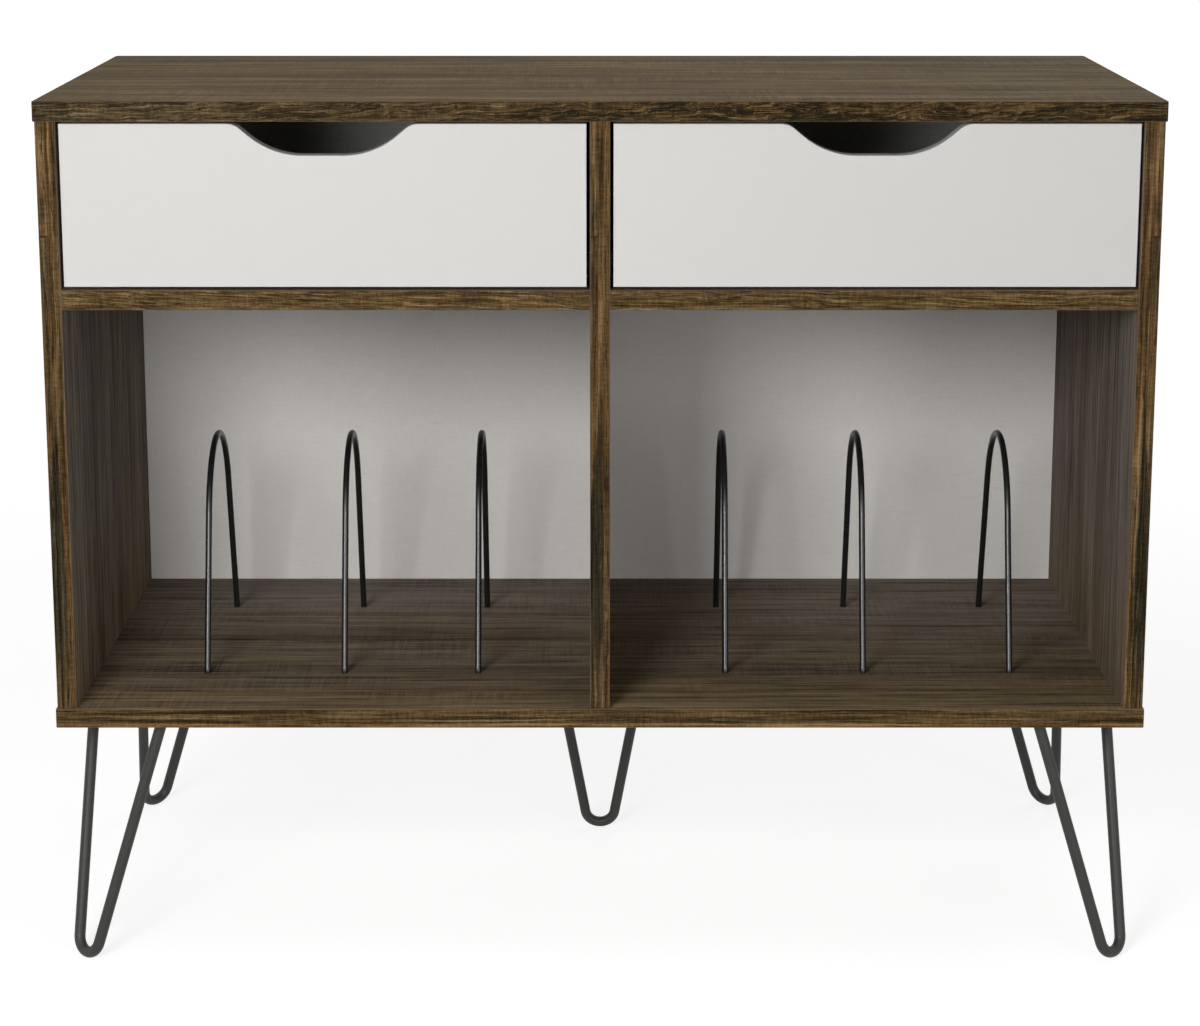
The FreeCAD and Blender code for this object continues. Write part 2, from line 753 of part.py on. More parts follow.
# Hairpin legs
def hairpin_leg(name):
    """A rod bent to a hairpin and welded under a plate. Its own Y axis is the way it leans."""
    x, y, turn = LEGS[name]
    body = document.addObject("PartDesign::Body", name)
    path = sketch_on(body, "rod_path", "XZ_Plane")
    lean = FreeCAD.Rotation(RIGHT, value("leg_lean"))
    path.AttachmentOffset = FreeCAD.Placement(FreeCAD.Vector(), lean)
    bind(path, "AttachmentOffset.Base.y", "-mount_plate")
    bind(path, "AttachmentOffset.Rotation.Angle", "leg_lean")
    trace(path, [
        ("leg_start_x", "overrun"),
        ("leg_tangent_x", "leg_tangent_y", "leg_bend_radius", -1),
        ("-leg_tangent_x", "leg_tangent_y"),
        ("-leg_start_x", "overrun"),
    ], closed=False)
    pipe(body, "rod", path, "rod_diameter")

    trim = sketch_on(body, "trim_outline", "XY_Plane")
    trace(trim, rectangle("-mount_tip", "-mount_tip", "mount_tip", "mount_tip"))
    add(body, "Pocket", "rod_trim", trim, "2*overrun", flip=True)

    outline = sketch_on(body, "plate_outline", "XY_Plane")
    trace(outline, [
        ("0", "mount_tip"),
        ("-mount_tip", "0"),
        ("mount_back - mount_tip", "-mount_back"),
        ("mount_tip - mount_back", "-mount_back"),
        ("mount_tip", "0"),
    ])
    add(body, "Pad", "plate", outline, "mount_plate", flip=True)
    finish_edges(body, "Fillet", "plate_corners", "mount_corner", plate_corners)
    finish_edges(body, "Fillet", "weld_beads", "weld_bead", weld_seams)
    spots = [(f"{share_x}*mount_tip", f"{share_y}*mount_tip") for share_x, share_y in leg_screw_shares]
    drill(
        body, "screw_holes", "XY_Plane", "0", spots, "leg_screw_radius + fixing_clearance", "mount_plate"
    )
    body.Placement = FreeCAD.Placement(FreeCAD.Vector(), FreeCAD.Rotation(UP, turn))
    put(body, (x, y, "leg_height"))
    keep(body, name)


def pipe(body, name, path, diameter):
    """Round stock that follows the path sketch."""
    section = body.newObject("Sketcher::SketchObject", f"{name}_section")
    section.AttachmentSupport = [(path, "Edge1")]
    section.MapMode = "NormalToEdge"
    document.recompute()
    section.addGeometry(Part.Circle(FreeCAD.Vector(), UP, value(diameter) / 2), False)
    section.addConstraint(Sketcher.Constraint("Coincident", 0, 3, -1, 1))
    rule(section, "Diameter", 0, text=diameter)
    feature = body.newObject("PartDesign::AdditivePipe", name)
    feature.Profile = section
    feature.Spine = (path, [f"Edge{i}" for i in range(1, len(path.Geometry) + 1)])
    document.recompute()


def legs():
    for name in LEGS:
        hairpin_leg(name)
    screws = [
        (x, y, "leg_height - mount_plate", pointing(UP)) for name in LEGS for x, y in leg_screw_places(name)
    ]
    copies("leg_screws", screw("leg_screw", "leg_screw"), screws)


# Record dividers
def divider(name, middle):
    """A wire arch whose ends are let into the bottom panel."""
    body = document.addObject("PartDesign::Body", name)
    path = sketch_on(body, "wire_path", "YZ_Plane")
    knee_low = "divider_knee - divider_knee_run"
    knee_in = "divider_foot - divider_knee_run*sin(divider_slant)"
    knee_high = "divider_knee + divider_knee_run*cos(divider_slant)"
    trace(path, [
        ("-divider_foot", "-divider_tenon"),
        ("-divider_foot", knee_low, "divider_knee_radius", -1),
        (f"-({knee_in})", knee_high),
        ("-divider_shoulder_y", "divider_shoulder_z", "divider_bend_radius", -1),
        ("divider_shoulder_y", "divider_shoulder_z"),
        (knee_in, knee_high, "divider_knee_radius", -1),
        ("divider_foot", knee_low),
        ("divider_foot", "-divider_tenon"),
    ], closed=False)
    pipe(body, "wire", path, "wire_diameter")
    put(body, (middle, "0", "floor_z"))
    keep(body, name)


def dividers():
    count = len(left_divider_shares)
    for number, middle in enumerate(divider_middles):
        bay = "left" if number < count else "right"
        divider(f"{bay}_divider_{number % count + 1}", middle)


# Runners. inward is 1 at a bay's left wall and -1 at its right wall.
def runner_holes(body, web_right, pin_run, screws):
    """The pin's hole and the screw holes through a runner's web, which ends at web_right."""
    drill(
        body, "pin_hole", "YZ_Plane", web_right, [(pin_run, "roller_z")],
        "pin_radius + fixing_clearance", "runner_steel",
    )
    drill(
        body, "screw_holes", "YZ_Plane", web_right, [(run, "roller_z") for run in screws],
        "runner_screw_radius + fixing_clearance", "runner_steel",
    )


def cabinet_runner(name, wall, inward):
    """A channel on the bay's wall: the drawer's rear roller runs in it, between two stops."""
    profile = [
        ("0", "0"),
        ("runner_track", "0"),
        ("runner_track", "runner_steel"),
        ("runner_steel", "runner_steel"),
        ("runner_steel", "hook_z"),
        ("runner_hook", "hook_z"),
        ("runner_hook", "hook_z + runner_steel"),
        ("0", "hook_z + runner_steel"),
    ]
    body = panel(
        name, "XZ_Plane", [(f"{inward}*({x})", z) for x, z in profile], "runner_length",
        (wall, "box_y + runner_front_gap", "runner_z"), flip=True,
    )
    web_right = "runner_steel" if inward > 0 else "0"
    runner_holes(body, web_right, "roller_end", runner_screw_runs)
    tab = rectangle(
        f"{inward}*runner_steel", "runner_steel", f"{inward}*runner_track", "runner_steel + stop_height"
    )
    open_stop = "roller_rest_y - drawer_travel - stop_reach - roller_play - stop_thickness"
    closed_stop = "roller_rest_y + stop_reach + roller_play"
    for stop, run in (("open_stop", open_stop), ("closed_stop", closed_stop)):
        sketch = sketch_on(body, f"{stop}_outline", "XZ_Plane", f"-({run})")
        trace(sketch, tab)
        add(body, "Pad", stop, sketch, "stop_thickness", flip=True)


def drawer_runner(name, wall, inward):
    """An angle under the box wall, with a rail that runs over the cabinet's roller."""
    profile = [
        ("runner_gap - runner_steel", "box_flange_lift"),
        ("runner_gap + box_flange", "box_flange_lift"),
        ("runner_gap + box_flange", "box_flange_lift + runner_steel"),
        ("runner_gap", "box_flange_lift + runner_steel"),
        ("runner_gap", "rail_z + runner_steel"),
        ("rail_edge", "rail_z + runner_steel"),
        ("rail_edge", "rail_z"),
        ("runner_gap - runner_steel", "rail_z"),
    ]
    body = panel(
        name, "XZ_Plane", [(f"{inward}*({x})", z) for x, z in profile], "runner_length",
        (wall, "box_y", "runner_z"), flip=True,
    )
    web_right = "runner_gap" if inward > 0 else "runner_steel - runner_gap"
    runner_holes(body, web_right, "runner_length - roller_end", runner_screw_runs)


# Drawers
def drawer_front(name, bay):
    """A painted front with a finger scoop swept out of its upper edge."""
    high = "front_height"
    floor_z = "front_height - scoop_depth"
    sweep_z = "front_height - scoop_sweep_z"
    lip_z = "front_height - scoop_lip_z"
    lip_x = "scoop_half - scoop_lip_x"
    body = panel(name, "XZ_Plane", [
        ("-front_width/2", "0"),
        ("front_width/2", "0"),
        ("front_width/2", high),
        ("scoop_half", high, "scoop_lip_radius", 1),
        (lip_x, lip_z),
        ("scoop_sweep_x", sweep_z, "scoop_sweep_radius", -1),
        ("scoop_floor/2", floor_z),
        ("-scoop_floor/2", floor_z, "scoop_sweep_radius", -1),
        ("-scoop_sweep_x", sweep_z),
        (f"-({lip_x})", lip_z, "scoop_lip_radius", 1),
        ("-scoop_half", high),
        ("-front_width/2", high),
    ], "board", (bay, "carcass_y", "front_z"), flip=True)
    finish_edges(body, "Chamfer", "eased_edges", "edge_ease", front_edges)
    groove = sketch_on(body, "groove_outline", "XZ_Plane", "-board")
    groove_low = "box_z - front_z + box_bottom_lift"
    groove_high = "box_z - front_z + groove_top"
    reach = "box_inside/2 + groove_depth"
    trace(groove, rectangle(f"-({reach})", groove_low, reach, groove_high))
    add(body, "Pocket", "bottom_groove", groove, "groove_depth", flip=True)
    pegs = [
        (x, f"box_z - front_z + {share}*box_height")
        for x in across("box_width/2 - box_wall/2")
        for share in front_dowel_shares
    ]
    drill(
        body, "dowel_holes", "XZ_Plane", "-board", pegs, "box_dowel_radius + fixing_clearance",
        "dowel_in_face + fixing_clearance", flip=True,
    )


def box_side(name, left, inner_face):
    body = panel(
        name, "YZ_Plane", rectangle("0", "0", "runner_length", "box_height"), "box_wall",
        (left, "box_y", "box_z"),
    )
    level, flip = inner_face
    groove = sketch_on(body, "groove_outline", "YZ_Plane", level)
    trace(groove, rectangle("0", "box_bottom_lift", "runner_length", "groove_top"))
    add(body, "Pocket", "bottom_groove", groove, "groove_depth", flip)
    drill(
        body, "front_dowel_holes", "XZ_Plane", "0",
        [("box_wall/2", f"{share}*box_height") for share in front_dowel_shares],
        "box_dowel_radius + fixing_clearance", "box_dowel_length - dowel_in_face + fixing_clearance",
    )
    drill(
        body, "back_dowel_holes", "YZ_Plane", level,
        [("runner_length - box_wall/2", f"{share}*box_height") for share in back_dowel_shares],
        "box_dowel_radius + fixing_clearance", "dowel_in_face + fixing_clearance", flip,
    )
    outer_level, outer_flip = ("0", True) if level != "0" else ("box_wall", False)
    drill(
        body, "runner_screw_holes", "YZ_Plane", outer_level,
        [(run, "roller_z - box_flange_lift - runner_steel") for run in runner_screw_runs],
        "runner_screw_radius + fixing_clearance",
        "runner_screw_length - runner_steel + fixing_clearance", outer_flip,
    )


def box_back(name, bay):
    body = panel(
        name, "XZ_Plane", rectangle("-box_inside/2", "groove_top", "box_inside/2", "box_height"),
        "box_wall", (bay, "box_y + runner_length - box_wall", "box_z"), flip=True,
    )
    spots = [("box_wall/2", f"{share}*box_height") for share in back_dowel_shares]
    for end, level, flip in (("left", "-box_inside/2", True), ("right", "box_inside/2", False)):
        drill(
            body, f"{end}_dowel_holes", "YZ_Plane", level, spots, "box_dowel_radius + fixing_clearance",
            "box_dowel_length - dowel_in_face + fixing_clearance", flip,
        )


def box_bottom(name, bay):
    front = "groove_clearance - groove_depth"
    outline = rectangle("-bottom_width/2", front, "bottom_width/2", "runner_length")
    panel(name, "XY_Plane", outline, "box_bottom", (bay, "box_y", "box_z + box_bottom_lift"))


def drawer(side, bay, peg):
    """One drawer. bay is the middle of the bay that it slides in."""
    drawer_front(f"{side}_drawer_front", bay)
    box_side(f"{side}_drawer_left_side", f"{bay} - box_width/2", ("box_wall", False))
    box_side(f"{side}_drawer_right_side", f"{bay} + box_width/2 - box_wall", ("0", True))
    box_back(f"{side}_drawer_back", bay)
    box_bottom(f"{side}_drawer_bottom", bay)
    places = []
    for offset in across("box_width/2 - box_wall/2"):
        for share in front_dowel_shares:
            places.append((f"{bay} + {offset}", "box_y", f"box_z + {share}*box_height", pointing(FORWARD)))
    for offset, into_face in zip(across("box_inside/2"), (LEFT, RIGHT)):
        for share in back_dowel_shares:
            places.append((
                f"{bay} + {offset}", "box_y + runner_length - box_wall/2",
                f"box_z + {share}*box_height", pointing(into_face),
            ))
    copies(f"{side}_drawer_dowels", peg, places)


def runners():
    pin = roller_pin("roller_pin")
    driver = screw("runner_screw", "runner_screw")
    cabinet_pins = []
    cabinet_screws = []
    screw_z = "runner_z + roller_z"
    for side, bay in (("left", "-bay_x"), ("right", "bay_x")):
        drawer_pins = []
        drawer_screws = []
        for hand, inward, wallward, toward in (("left", 1, LEFT, RIGHT), ("right", -1, RIGHT, LEFT)):
            wall = f"{bay} - {inward}*bay_width/2"
            cabinet_runner(f"{side}_bay_{hand}_runner", wall, inward)
            drawer_runner(f"{side}_drawer_{hand}_runner", wall, inward)
            cabinet_web = f"{wall} + {inward}*runner_steel"
            drawer_web = f"{wall} + {inward}*(runner_gap - runner_steel)"
            front_run = "box_y + runner_front_gap + roller_end"
            rear_run = "box_y + runner_length - roller_end"
            cabinet_pins.append((cabinet_web, front_run, screw_z, pointing(toward)))
            drawer_pins.append((drawer_web, rear_run, screw_z, pointing(wallward)))
            roller(
                f"{side}_bay_{hand}_roller",
                (f"{cabinet_web} + {inward}*roller_gap", front_run, screw_z), toward,
            )
            roller(
                f"{side}_drawer_{hand}_roller",
                (f"{drawer_web} - {inward}*roller_gap", rear_run, screw_z), wallward,
            )
            for run in runner_screw_runs:
                cabinet_screws.append(
                    (cabinet_web, f"box_y + runner_front_gap + {run}", screw_z, pointing(wallward))
                )
                drawer_screws.append((drawer_web, f"box_y + {run}", screw_z, pointing(toward)))
        copies(f"{side}_drawer_roller_pins", pin, drawer_pins)
        copies(f"{side}_drawer_runner_screws", driver, drawer_screws)
    copies("cabinet_roller_pins", pin, cabinet_pins)
    copies("cabinet_runner_screws", driver, cabinet_screws)


carcass()
carcass_fixings()
legs()
dividers()
box_peg = dowel("box_dowel", "box_dowel_radius", "box_dowel_length")
drawer("left", "-bay_x", box_peg)
drawer("right", "bay_x", box_peg)
runners()

document.recompute()
for thing in document.Objects:
    if {"Invalid", "Error"} & set(thing.State):
        raise ValueError(f"{thing.Label} did not build")
for name, thing in nodes.items():
    if thing.Shape.isNull() or not thing.Shape.isValid():
        raise ValueError(f"{name} has no sound shape")

os.makedirs("parts", exist_ok=True)
for name, thing in nodes.items():
    thing.Shape.exportStep(f"parts/{name}.step")
print(f"{len(nodes)} pieces of {sum(len(thing.Shape.Solids) for thing in nodes.values())} solids")
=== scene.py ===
import json
import math

import bmesh
import bpy
from mathutils import Matrix, Vector


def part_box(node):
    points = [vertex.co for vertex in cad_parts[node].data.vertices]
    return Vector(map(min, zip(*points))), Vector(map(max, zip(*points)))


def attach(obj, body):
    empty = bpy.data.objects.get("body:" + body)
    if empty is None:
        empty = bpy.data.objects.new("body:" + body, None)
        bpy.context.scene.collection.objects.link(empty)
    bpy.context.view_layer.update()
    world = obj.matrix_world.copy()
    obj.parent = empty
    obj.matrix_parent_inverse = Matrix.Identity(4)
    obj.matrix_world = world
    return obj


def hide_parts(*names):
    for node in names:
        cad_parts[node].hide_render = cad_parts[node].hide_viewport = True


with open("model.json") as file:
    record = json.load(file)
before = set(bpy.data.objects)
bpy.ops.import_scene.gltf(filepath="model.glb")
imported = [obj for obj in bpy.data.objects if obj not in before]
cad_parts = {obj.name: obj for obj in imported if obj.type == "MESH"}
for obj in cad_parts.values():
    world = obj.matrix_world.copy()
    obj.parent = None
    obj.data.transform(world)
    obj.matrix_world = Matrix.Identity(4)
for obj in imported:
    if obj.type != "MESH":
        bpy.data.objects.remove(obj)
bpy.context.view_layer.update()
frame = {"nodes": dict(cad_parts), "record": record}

NODES = frame["nodes"]
SLOT_OF = {row["node"]: row["material_slot"] for row in frame["record"]["subparts"]}
MM = 0.001


def middle_of(node):
    """The middle of a CAD node at rest."""
    low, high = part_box(node)
    return (low + high) / 2


# Camera: near the photograph's height and distance, aimed down a little, with no shift.

CAMERA_PLACE = (0.0, -3.0063, 1.0651)
CAMERA_TILT = 12.91
CAMERA_LENS = 93.79
CAMERA_SENSOR = 36
CAMERA_REACH = 100

scene = bpy.context.scene
camera = bpy.data.objects.new("camera", bpy.data.cameras.new("camera"))
camera.location = CAMERA_PLACE
camera.rotation_euler = (math.radians(90 - CAMERA_TILT), 0, 0)
camera.data.lens = CAMERA_LENS
camera.data.sensor_width = CAMERA_SENSOR
camera.data.clip_end = CAMERA_REACH
scene.collection.objects.link(camera)
scene.camera = camera
scene.view_settings.view_transform = "Standard"


# Node trees.


def is_socket(value):
    return isinstance(value, bpy.types.NodeSocket)


class Tree:
    """Adds nodes to one tree and links or sets their inputs as they come."""

    def __init__(self, tree):
        self.tree = tree

    def add(self, kind, inputs=None, **settings):
        node = self.tree.nodes.new("ShaderNode" + kind)
        for name, value in settings.items():
            setattr(node, name, value)
        for socket, value in (inputs or {}).items():
            if is_socket(value):
                self.tree.links.new(value, node.inputs[socket])
            else:
                node.inputs[socket].default_value = value
        return node

    def use(self, group, **inputs):
        """The outputs of a node group."""
        return self.add("Group", inputs, node_tree=group).outputs

    def math(self, operation, a, b=0.0):
        return self.add("Math", {0: a, 1: b}, operation=operation).outputs[0]

    def plus(self, a, b):
        return self.math("ADD", a, b)

    def minus(self, a, b):
        return self.math("SUBTRACT", a, b)

    def times(self, a, b):
        return self.math("MULTIPLY", a, b)

    def larger(self, a, b):
        return self.math("MAXIMUM", a, b)

    def smaller(self, a, b):
        return self.math("MINIMUM", a, b)

    def size(self, a):
        """A value without its sign."""
        return self.math("ABSOLUTE", a)

    def apart(self, a, b):
        """How far apart two values are."""
        return self.size(self.minus(a, b))

    def rest(self, a):
        """What is left of 1."""
        return self.minus(1.0, a)

    def sum(self, start, *terms):
        """start plus each value's distance from a half, times its weight."""
        total = start
        for value, weight in terms:
            total = self.plus(total, self.times(self.minus(value, 0.5), weight))
        return total

    def vector(self, operation, a, b):
        return self.add("VectorMath", {0: a, 1: b}, operation=operation).outputs[0]

    def parts(self, vector):
        return self.add("SeparateXYZ", {0: vector}).outputs

    def combine(self, x, y, z):
        return self.add("CombineXYZ", {0: x, 1: y, 2: z}).outputs[0]

    def noise(self, vector, per_metre, seed, detail, roughness=0.55, distortion=0.0):
        """Noise whose density is one number, or three for one along each axis."""
        density = per_metre if isinstance(per_metre, tuple) else (per_metre,) * 3
        place = self.vector("MULTIPLY", vector, density)
        place = self.vector("ADD", place, (seed * 7.31, seed * 3.17, seed * 5.93))
        return self.add("TexNoise", {
            "Vector": place, "Scale": 1.0, "Detail": detail, "Roughness": roughness, "Distortion": distortion,
        }).outputs[0]

    def random(self, x, y, z):
        """A random value that only changes with the place."""
        place = self.combine(x, y, z)
        return self.add("TexWhiteNoise", {"Vector": place}, noise_dimensions="3D").outputs["Value"]

    def remap(self, value, low, high, to_low=0.0, to_high=1.0, curve="LINEAR"):
        """A value taken from one range to another, and held at both ends."""
        return self.add("MapRange", {
            "Value": value, "From Min": low, "From Max": high, "To Min": to_low, "To Max": to_high,
        }, interpolation_type=curve).outputs[0]

    def fade(self, value, low, high, to_low=0.0, to_high=1.0):
        """The same as remap, with soft ends."""
        return self.remap(value, low, high, to_low, to_high, "SMOOTHSTEP")

    def ramp(self, value, *stops):
        """A colour that runs through the stops, each a position and a colour."""
        node = self.add("ValToRGB", {0: value})
        elements = node.color_ramp.elements
        while len(elements) < len(stops):
            elements.new(0.5)
        for element, (position, colour) in zip(elements, stops):
            element.position = position
            element.color = (*colour, 1)
        return node.outputs[0]

    def mix(self, factor, a, b):
        a, b = (colour if is_socket(colour) else (*colour, 1) for colour in (a, b))
        return self.add("Mix", {0: factor, 6: a, 7: b}, data_type="RGBA").outputs[2]

    def mix_value(self, factor, a, b):
        return self.add("Mix", {0: factor, 2: a, 3: b}, data_type="FLOAT").outputs[0]

    def tint(self, colour, shade):
        """A colour multiplied by another."""
        return self.vector("MULTIPLY", colour, shade)

    def scale_colour(self, colour, factor):
        """A colour made lighter or darker by a factor that changes over the surface."""
        return self.tint(colour, self.combine(factor, factor, factor))


def new_material(name):
    material = bpy.data.materials.new(name)
    material.use_nodes = True
    material.node_tree.nodes.clear()
    return material, Tree(material.node_tree)


def surface(tree, colour, roughness, height, relief, **constants):
    """The shader with its bump, and the output."""
    bump = tree.add("Bump", {"Height": height, "Strength": 1.0, "Distance": relief})
    inputs = {"Base Color": colour, "Roughness": roughness, "Normal": bump.outputs[0]}
    for name, value in constants.items():
        inputs[name.replace("_", " ")] = value
    shader = tree.add("BsdfPrincipled", inputs)
    tree.add("OutputMaterial", {0: shader.outputs[0]})


def new_group(name, vectors, floats, outputs):
    """A node group with its tree and its inputs. Outputs are pairs of a name and a kind."""
    group = bpy.data.node_groups.new(name, "ShaderNodeTree")
    inputs = [(socket, "Vector") for socket in vectors] + [(socket, "Float") for socket in floats]
    for way, sockets in (("INPUT", inputs), ("OUTPUT", outputs)):
        for socket, kind in sockets:
            group.interface.new_socket(socket, in_out=way, socket_type="NodeSocket" + kind)
    return group, Tree(group), group.nodes.new("NodeGroupInput").outputs


def close_group(tree, **results):
    """Links the results to the group's outputs."""
    target = tree.tree.nodes.new("NodeGroupOutput")
    for name, socket in results.items():
        tree.tree.links.new(socket, target.inputs[name])


# Walnut laminate. Vectors hold u along the grain, v across it and w through the board.

LAMINATE_OUTPUTS = (("Color", "Color"), ("Height", "Float"), ("Roughness", "Float"))

# Each printed plank: where it starts across the board, how much darker it is there at the two ends of the
# stretch PRINT_TURN along the grain, and the width over which that fades.
PLANKS = (
    (-0.190, 0.22, 0.16, 0.035),
    (-0.136, 0.22, 0.30, 0.060),
    (-0.008, 0.42, 0.18, 0.080),
    (0.088, 0.16, 0.14, 0.030),
)
PRINT_TURN = (-0.15, 0.05)
PLANK_JOINT = 1.3 * MM

# In a row of four, a change starts at the first number and ends at the second, and its values there are the
# third and the fourth. These three run across the board: every board gets a painted shade near its back,
# where the back panel meets it, and Rear paints light on a board, lighter and cooler on the way there.
PAINTED_BACK_SHADE = (0.150, 0.215, 0.0, 0.22)
PAINTED_REAR_LIGHT = (-0.16, 0.12, 0.0, 0.28)
PAINTED_REAR_COOL = (-0.20, 0.15, -0.35, 0.35)
COOL_SHADE = (0.88, 1.03, 1.55)


def printed_planks(t, u, v):
    """How many planks start before a point, how dark the plank's print and the painted shade near the back
    make it, and how dark the joints make it.
    """
    count = 0.0
    # Painted shade: every board is darkened near its back, where the back panel meets it.
    shade = t.fade(v, *PAINTED_BACK_SHADE)
    gap = 0.0
    for start, left, right, width in PLANKS:
        behind = t.remap(v, start - PLANK_JOINT / 2, start + PLANK_JOINT / 2)
        depth = t.remap(u, *PRINT_TURN, left, right)
        darker = t.times(t.remap(v, start, start + width, 1.0, 0.0), depth)
        line = t.fade(t.apart(v, start), 0.0, PLANK_JOINT, 1.0, 0.0)
        count = t.plus(count, behind)
        shade = t.plus(shade, t.times(behind, darker))
        gap = t.plus(gap, t.times(line, darker))
    return count, shade, gap


def laminate_face():
    """The broad faces: long planks, fine fibres, hair-fine streaks, pores and saw marks across the grain.
    Light is the middle of the print's range, Grey cools its brown and on the uprights also holds a painted
    sheen, Sawn is the strength of the saw marks, Rear paints light on the face, lighter and cooler towards
    the back, and Fine turns the broad streaks into fine fibres."""
    floats = ("Seed", "Light", "Grey", "Sawn", "Rear", "Fine")
    group, t, source = new_group("laminate_face", ("Place",), floats, LAMINATE_OUTPUTS)
    seed, light, grey, sawn, rear, fine = (source[name] for name in floats)
    u, v = t.parts(source["Place"])[:2]
    count, shade, gap = printed_planks(t, u, v)
    shift = t.random(t.math("ROUND", count), 3.0, seed)
    along = t.plus(t.times(seed, 1.7), t.times(shift, 9.0))
    through = t.plus(t.times(seed, 0.9), t.times(shift, 4.0))
    moved = t.vector("ADD", source["Place"], t.combine(along, 0.0, through))

    fibre = t.noise(moved, (9, 460, 460), 1, detail=5, roughness=0.74)
    hair = t.noise(moved, (5, 135, 135), 9, detail=5, roughness=0.80)
    band = t.noise(moved, (1.8, 42, 42), 2, detail=5, roughness=0.70, distortion=0.25)
    cloud = t.noise(moved, (3.5, 9, 9), 3, detail=2)
    pore = t.noise(moved, (45, 900, 900), 4, detail=2, roughness=0.5)
    streak = t.noise(moved, (4, 120, 120), 10, detail=4, roughness=0.65)
    saw = t.noise(moved, (360, 11, 11), 5, detail=4, roughness=0.68)
    saw_area = t.fade(t.noise(moved, (5, 12, 12), 6, detail=2), 0.45, 0.60, 0.30, 1.0)
    tinge = t.noise(moved, (2.2, 14, 14), 7, detail=2)
    pores = t.fade(pore, 0.58, 0.70)
    streaks = t.fade(streak, 0.56, 0.68)
    marks = t.times(t.minus(saw, 0.5), t.times(saw_area, sawn))

    fibre_weight = t.remap(fine, 0.0, 1.0, 1.3, 2.3)
    hair_weight = t.remap(fine, 0.0, 1.0, 2.7, 1.9)
    band_weight = t.remap(fine, 0.0, 1.0, 0.85, 0.45)
    value = t.sum(light, (fibre, fibre_weight), (hair, hair_weight), (band, band_weight), (cloud, 0.20))
    value = t.plus(value, marks)
    # Painted light: Rear makes the face lighter towards the back.
    value = t.plus(value, t.times(t.remap(v, *PAINTED_REAR_LIGHT), rear))
    colour = t.ramp(
        value,
        (0.06, (0.056, 0.038, 0.020)),
        (0.38, (0.140, 0.100, 0.057)),
        (0.60, (0.202, 0.145, 0.080)),
        (0.96, (0.315, 0.228, 0.130)),
    )
    # Cooler by Grey and the tinge, and by painted light towards the back.
    print_and_painted_cool = t.plus(t.sum(grey, (tinge, 1.1)), t.times(t.remap(v, *PAINTED_REAR_COOL), rear))
    colour = t.mix(print_and_painted_cool, colour, t.tint(colour, COOL_SHADE))
    dark = t.plus(t.times(pores, 0.30), t.times(streaks, 0.42))
    colour = t.scale_colour(colour, t.rest(dark))
    # The plank print with its joints, and the painted shade near the back.
    colour = t.scale_colour(colour, t.rest(t.plus(shade, t.times(gap, 0.8))))

    height = t.plus(t.times(fibre, 0.5), t.times(marks, 0.6))
    height = t.minus(height, t.plus(t.times(pores, 0.5), gap))
    roughness = t.plus(t.remap(fibre, 0.3, 0.7, 0.80, 0.68), t.times(pores, 0.12))
    close_group(t, Color=colour, Height=height, Roughness=roughness)
    return group


# The edge print: what Red does to the colour, the colour of the black patches and how far Figure bends
# the streaks.
WARM_SHADE = (1.14, 0.87, 0.76)
PATCH_BLACK = (0.0110, 0.0095, 0.0055)
BEND_REACH = 20 * MM


def laminate_edge():
    """The narrow edges: golden ground with long streaks, short dark dashes and cross hatching. Tone
    lightens the ground, Red warms it, Figure bends the streaks and gathers the dashes into black patches,
    Slope is how fast the streaks leave the edge's own direction, and Grain shortens and thins them."""
    floats = ("Seed", "Tone", "Red", "Figure", "Slope", "Grain")
    group, t, source = new_group("laminate_edge", ("Place",), floats, LAMINATE_OUTPUTS)
    seed, tone, redness, figure, slope, grain = (source[name] for name in floats)
    moved = t.combine(t.times(seed, 2.3), 0.0, t.times(seed, 1.3))
    place = t.vector("ADD", source["Place"], moved)
    u, v, w = t.parts(place)
    bend = t.noise(place, (16, 34, 34), 11, detail=2)
    lift = t.times(t.times(t.minus(bend, 0.5), figure), BEND_REACH)
    lift = t.plus(lift, t.times(u, slope))
    finer = t.remap(grain, 1.0, 2.5, 1.0, 1.5)
    bent = t.combine(t.times(u, grain), t.times(t.plus(v, lift), finer), t.times(t.plus(w, lift), finer))

    streak = t.noise(bent, (6.5, 330, 330), 12, detail=5, roughness=0.70)
    dash = t.noise(bent, (20, 660, 660), 13, detail=3, roughness=0.65)
    area = t.noise(bent, (5, 90, 90), 14, detail=4, roughness=0.65)
    hatch = t.noise(place, (430, 110, 110), 16, detail=2, roughness=0.6)
    grit = t.noise(place, (800, 1300, 1300), 15, detail=2, roughness=0.6)
    warmth = t.noise(bent, (7, 210, 210), 17, detail=2)

    ground = t.ramp(
        t.sum(0.5, (streak, 3.0), (hatch, 0.60), (grit, 0.60), (tone, 0.9)),
        (0.06, (0.026, 0.017, 0.007)),
        (0.40, (0.080, 0.051, 0.021)),
        (0.64, (0.124, 0.083, 0.035)),
        (0.98, (0.235, 0.170, 0.084)),
    )
    warm = t.times(t.remap(warmth, 0.40, 0.64, 0.25, 1.0), redness)
    ground = t.mix(warm, ground, t.tint(ground, WARM_SHADE))
    gather = t.times(t.minus(t.remap(area, 0.40, 0.62, 0.64, 0.41), 0.54),
                     t.remap(figure, 0.2, 1.0, 0.25, 1.0))
    limit = t.plus(t.plus(gather, 0.55), t.times(tone, 0.07))
    limit = t.minus(limit, t.times(figure, 0.04))
    black = t.times(t.fade(t.minus(dash, limit), -0.01, 0.05), t.remap(figure, 0.2, 1.0, 0.78, 0.92))
    colour = t.mix(black, ground, PATCH_BLACK)
    height = t.minus(t.times(streak, 0.7), t.times(black, 0.5))
    roughness = t.remap(streak, 0.3, 0.7, 0.82, 0.70)
    close_group(t, Color=colour, Height=height, Roughness=roughness)
    return group


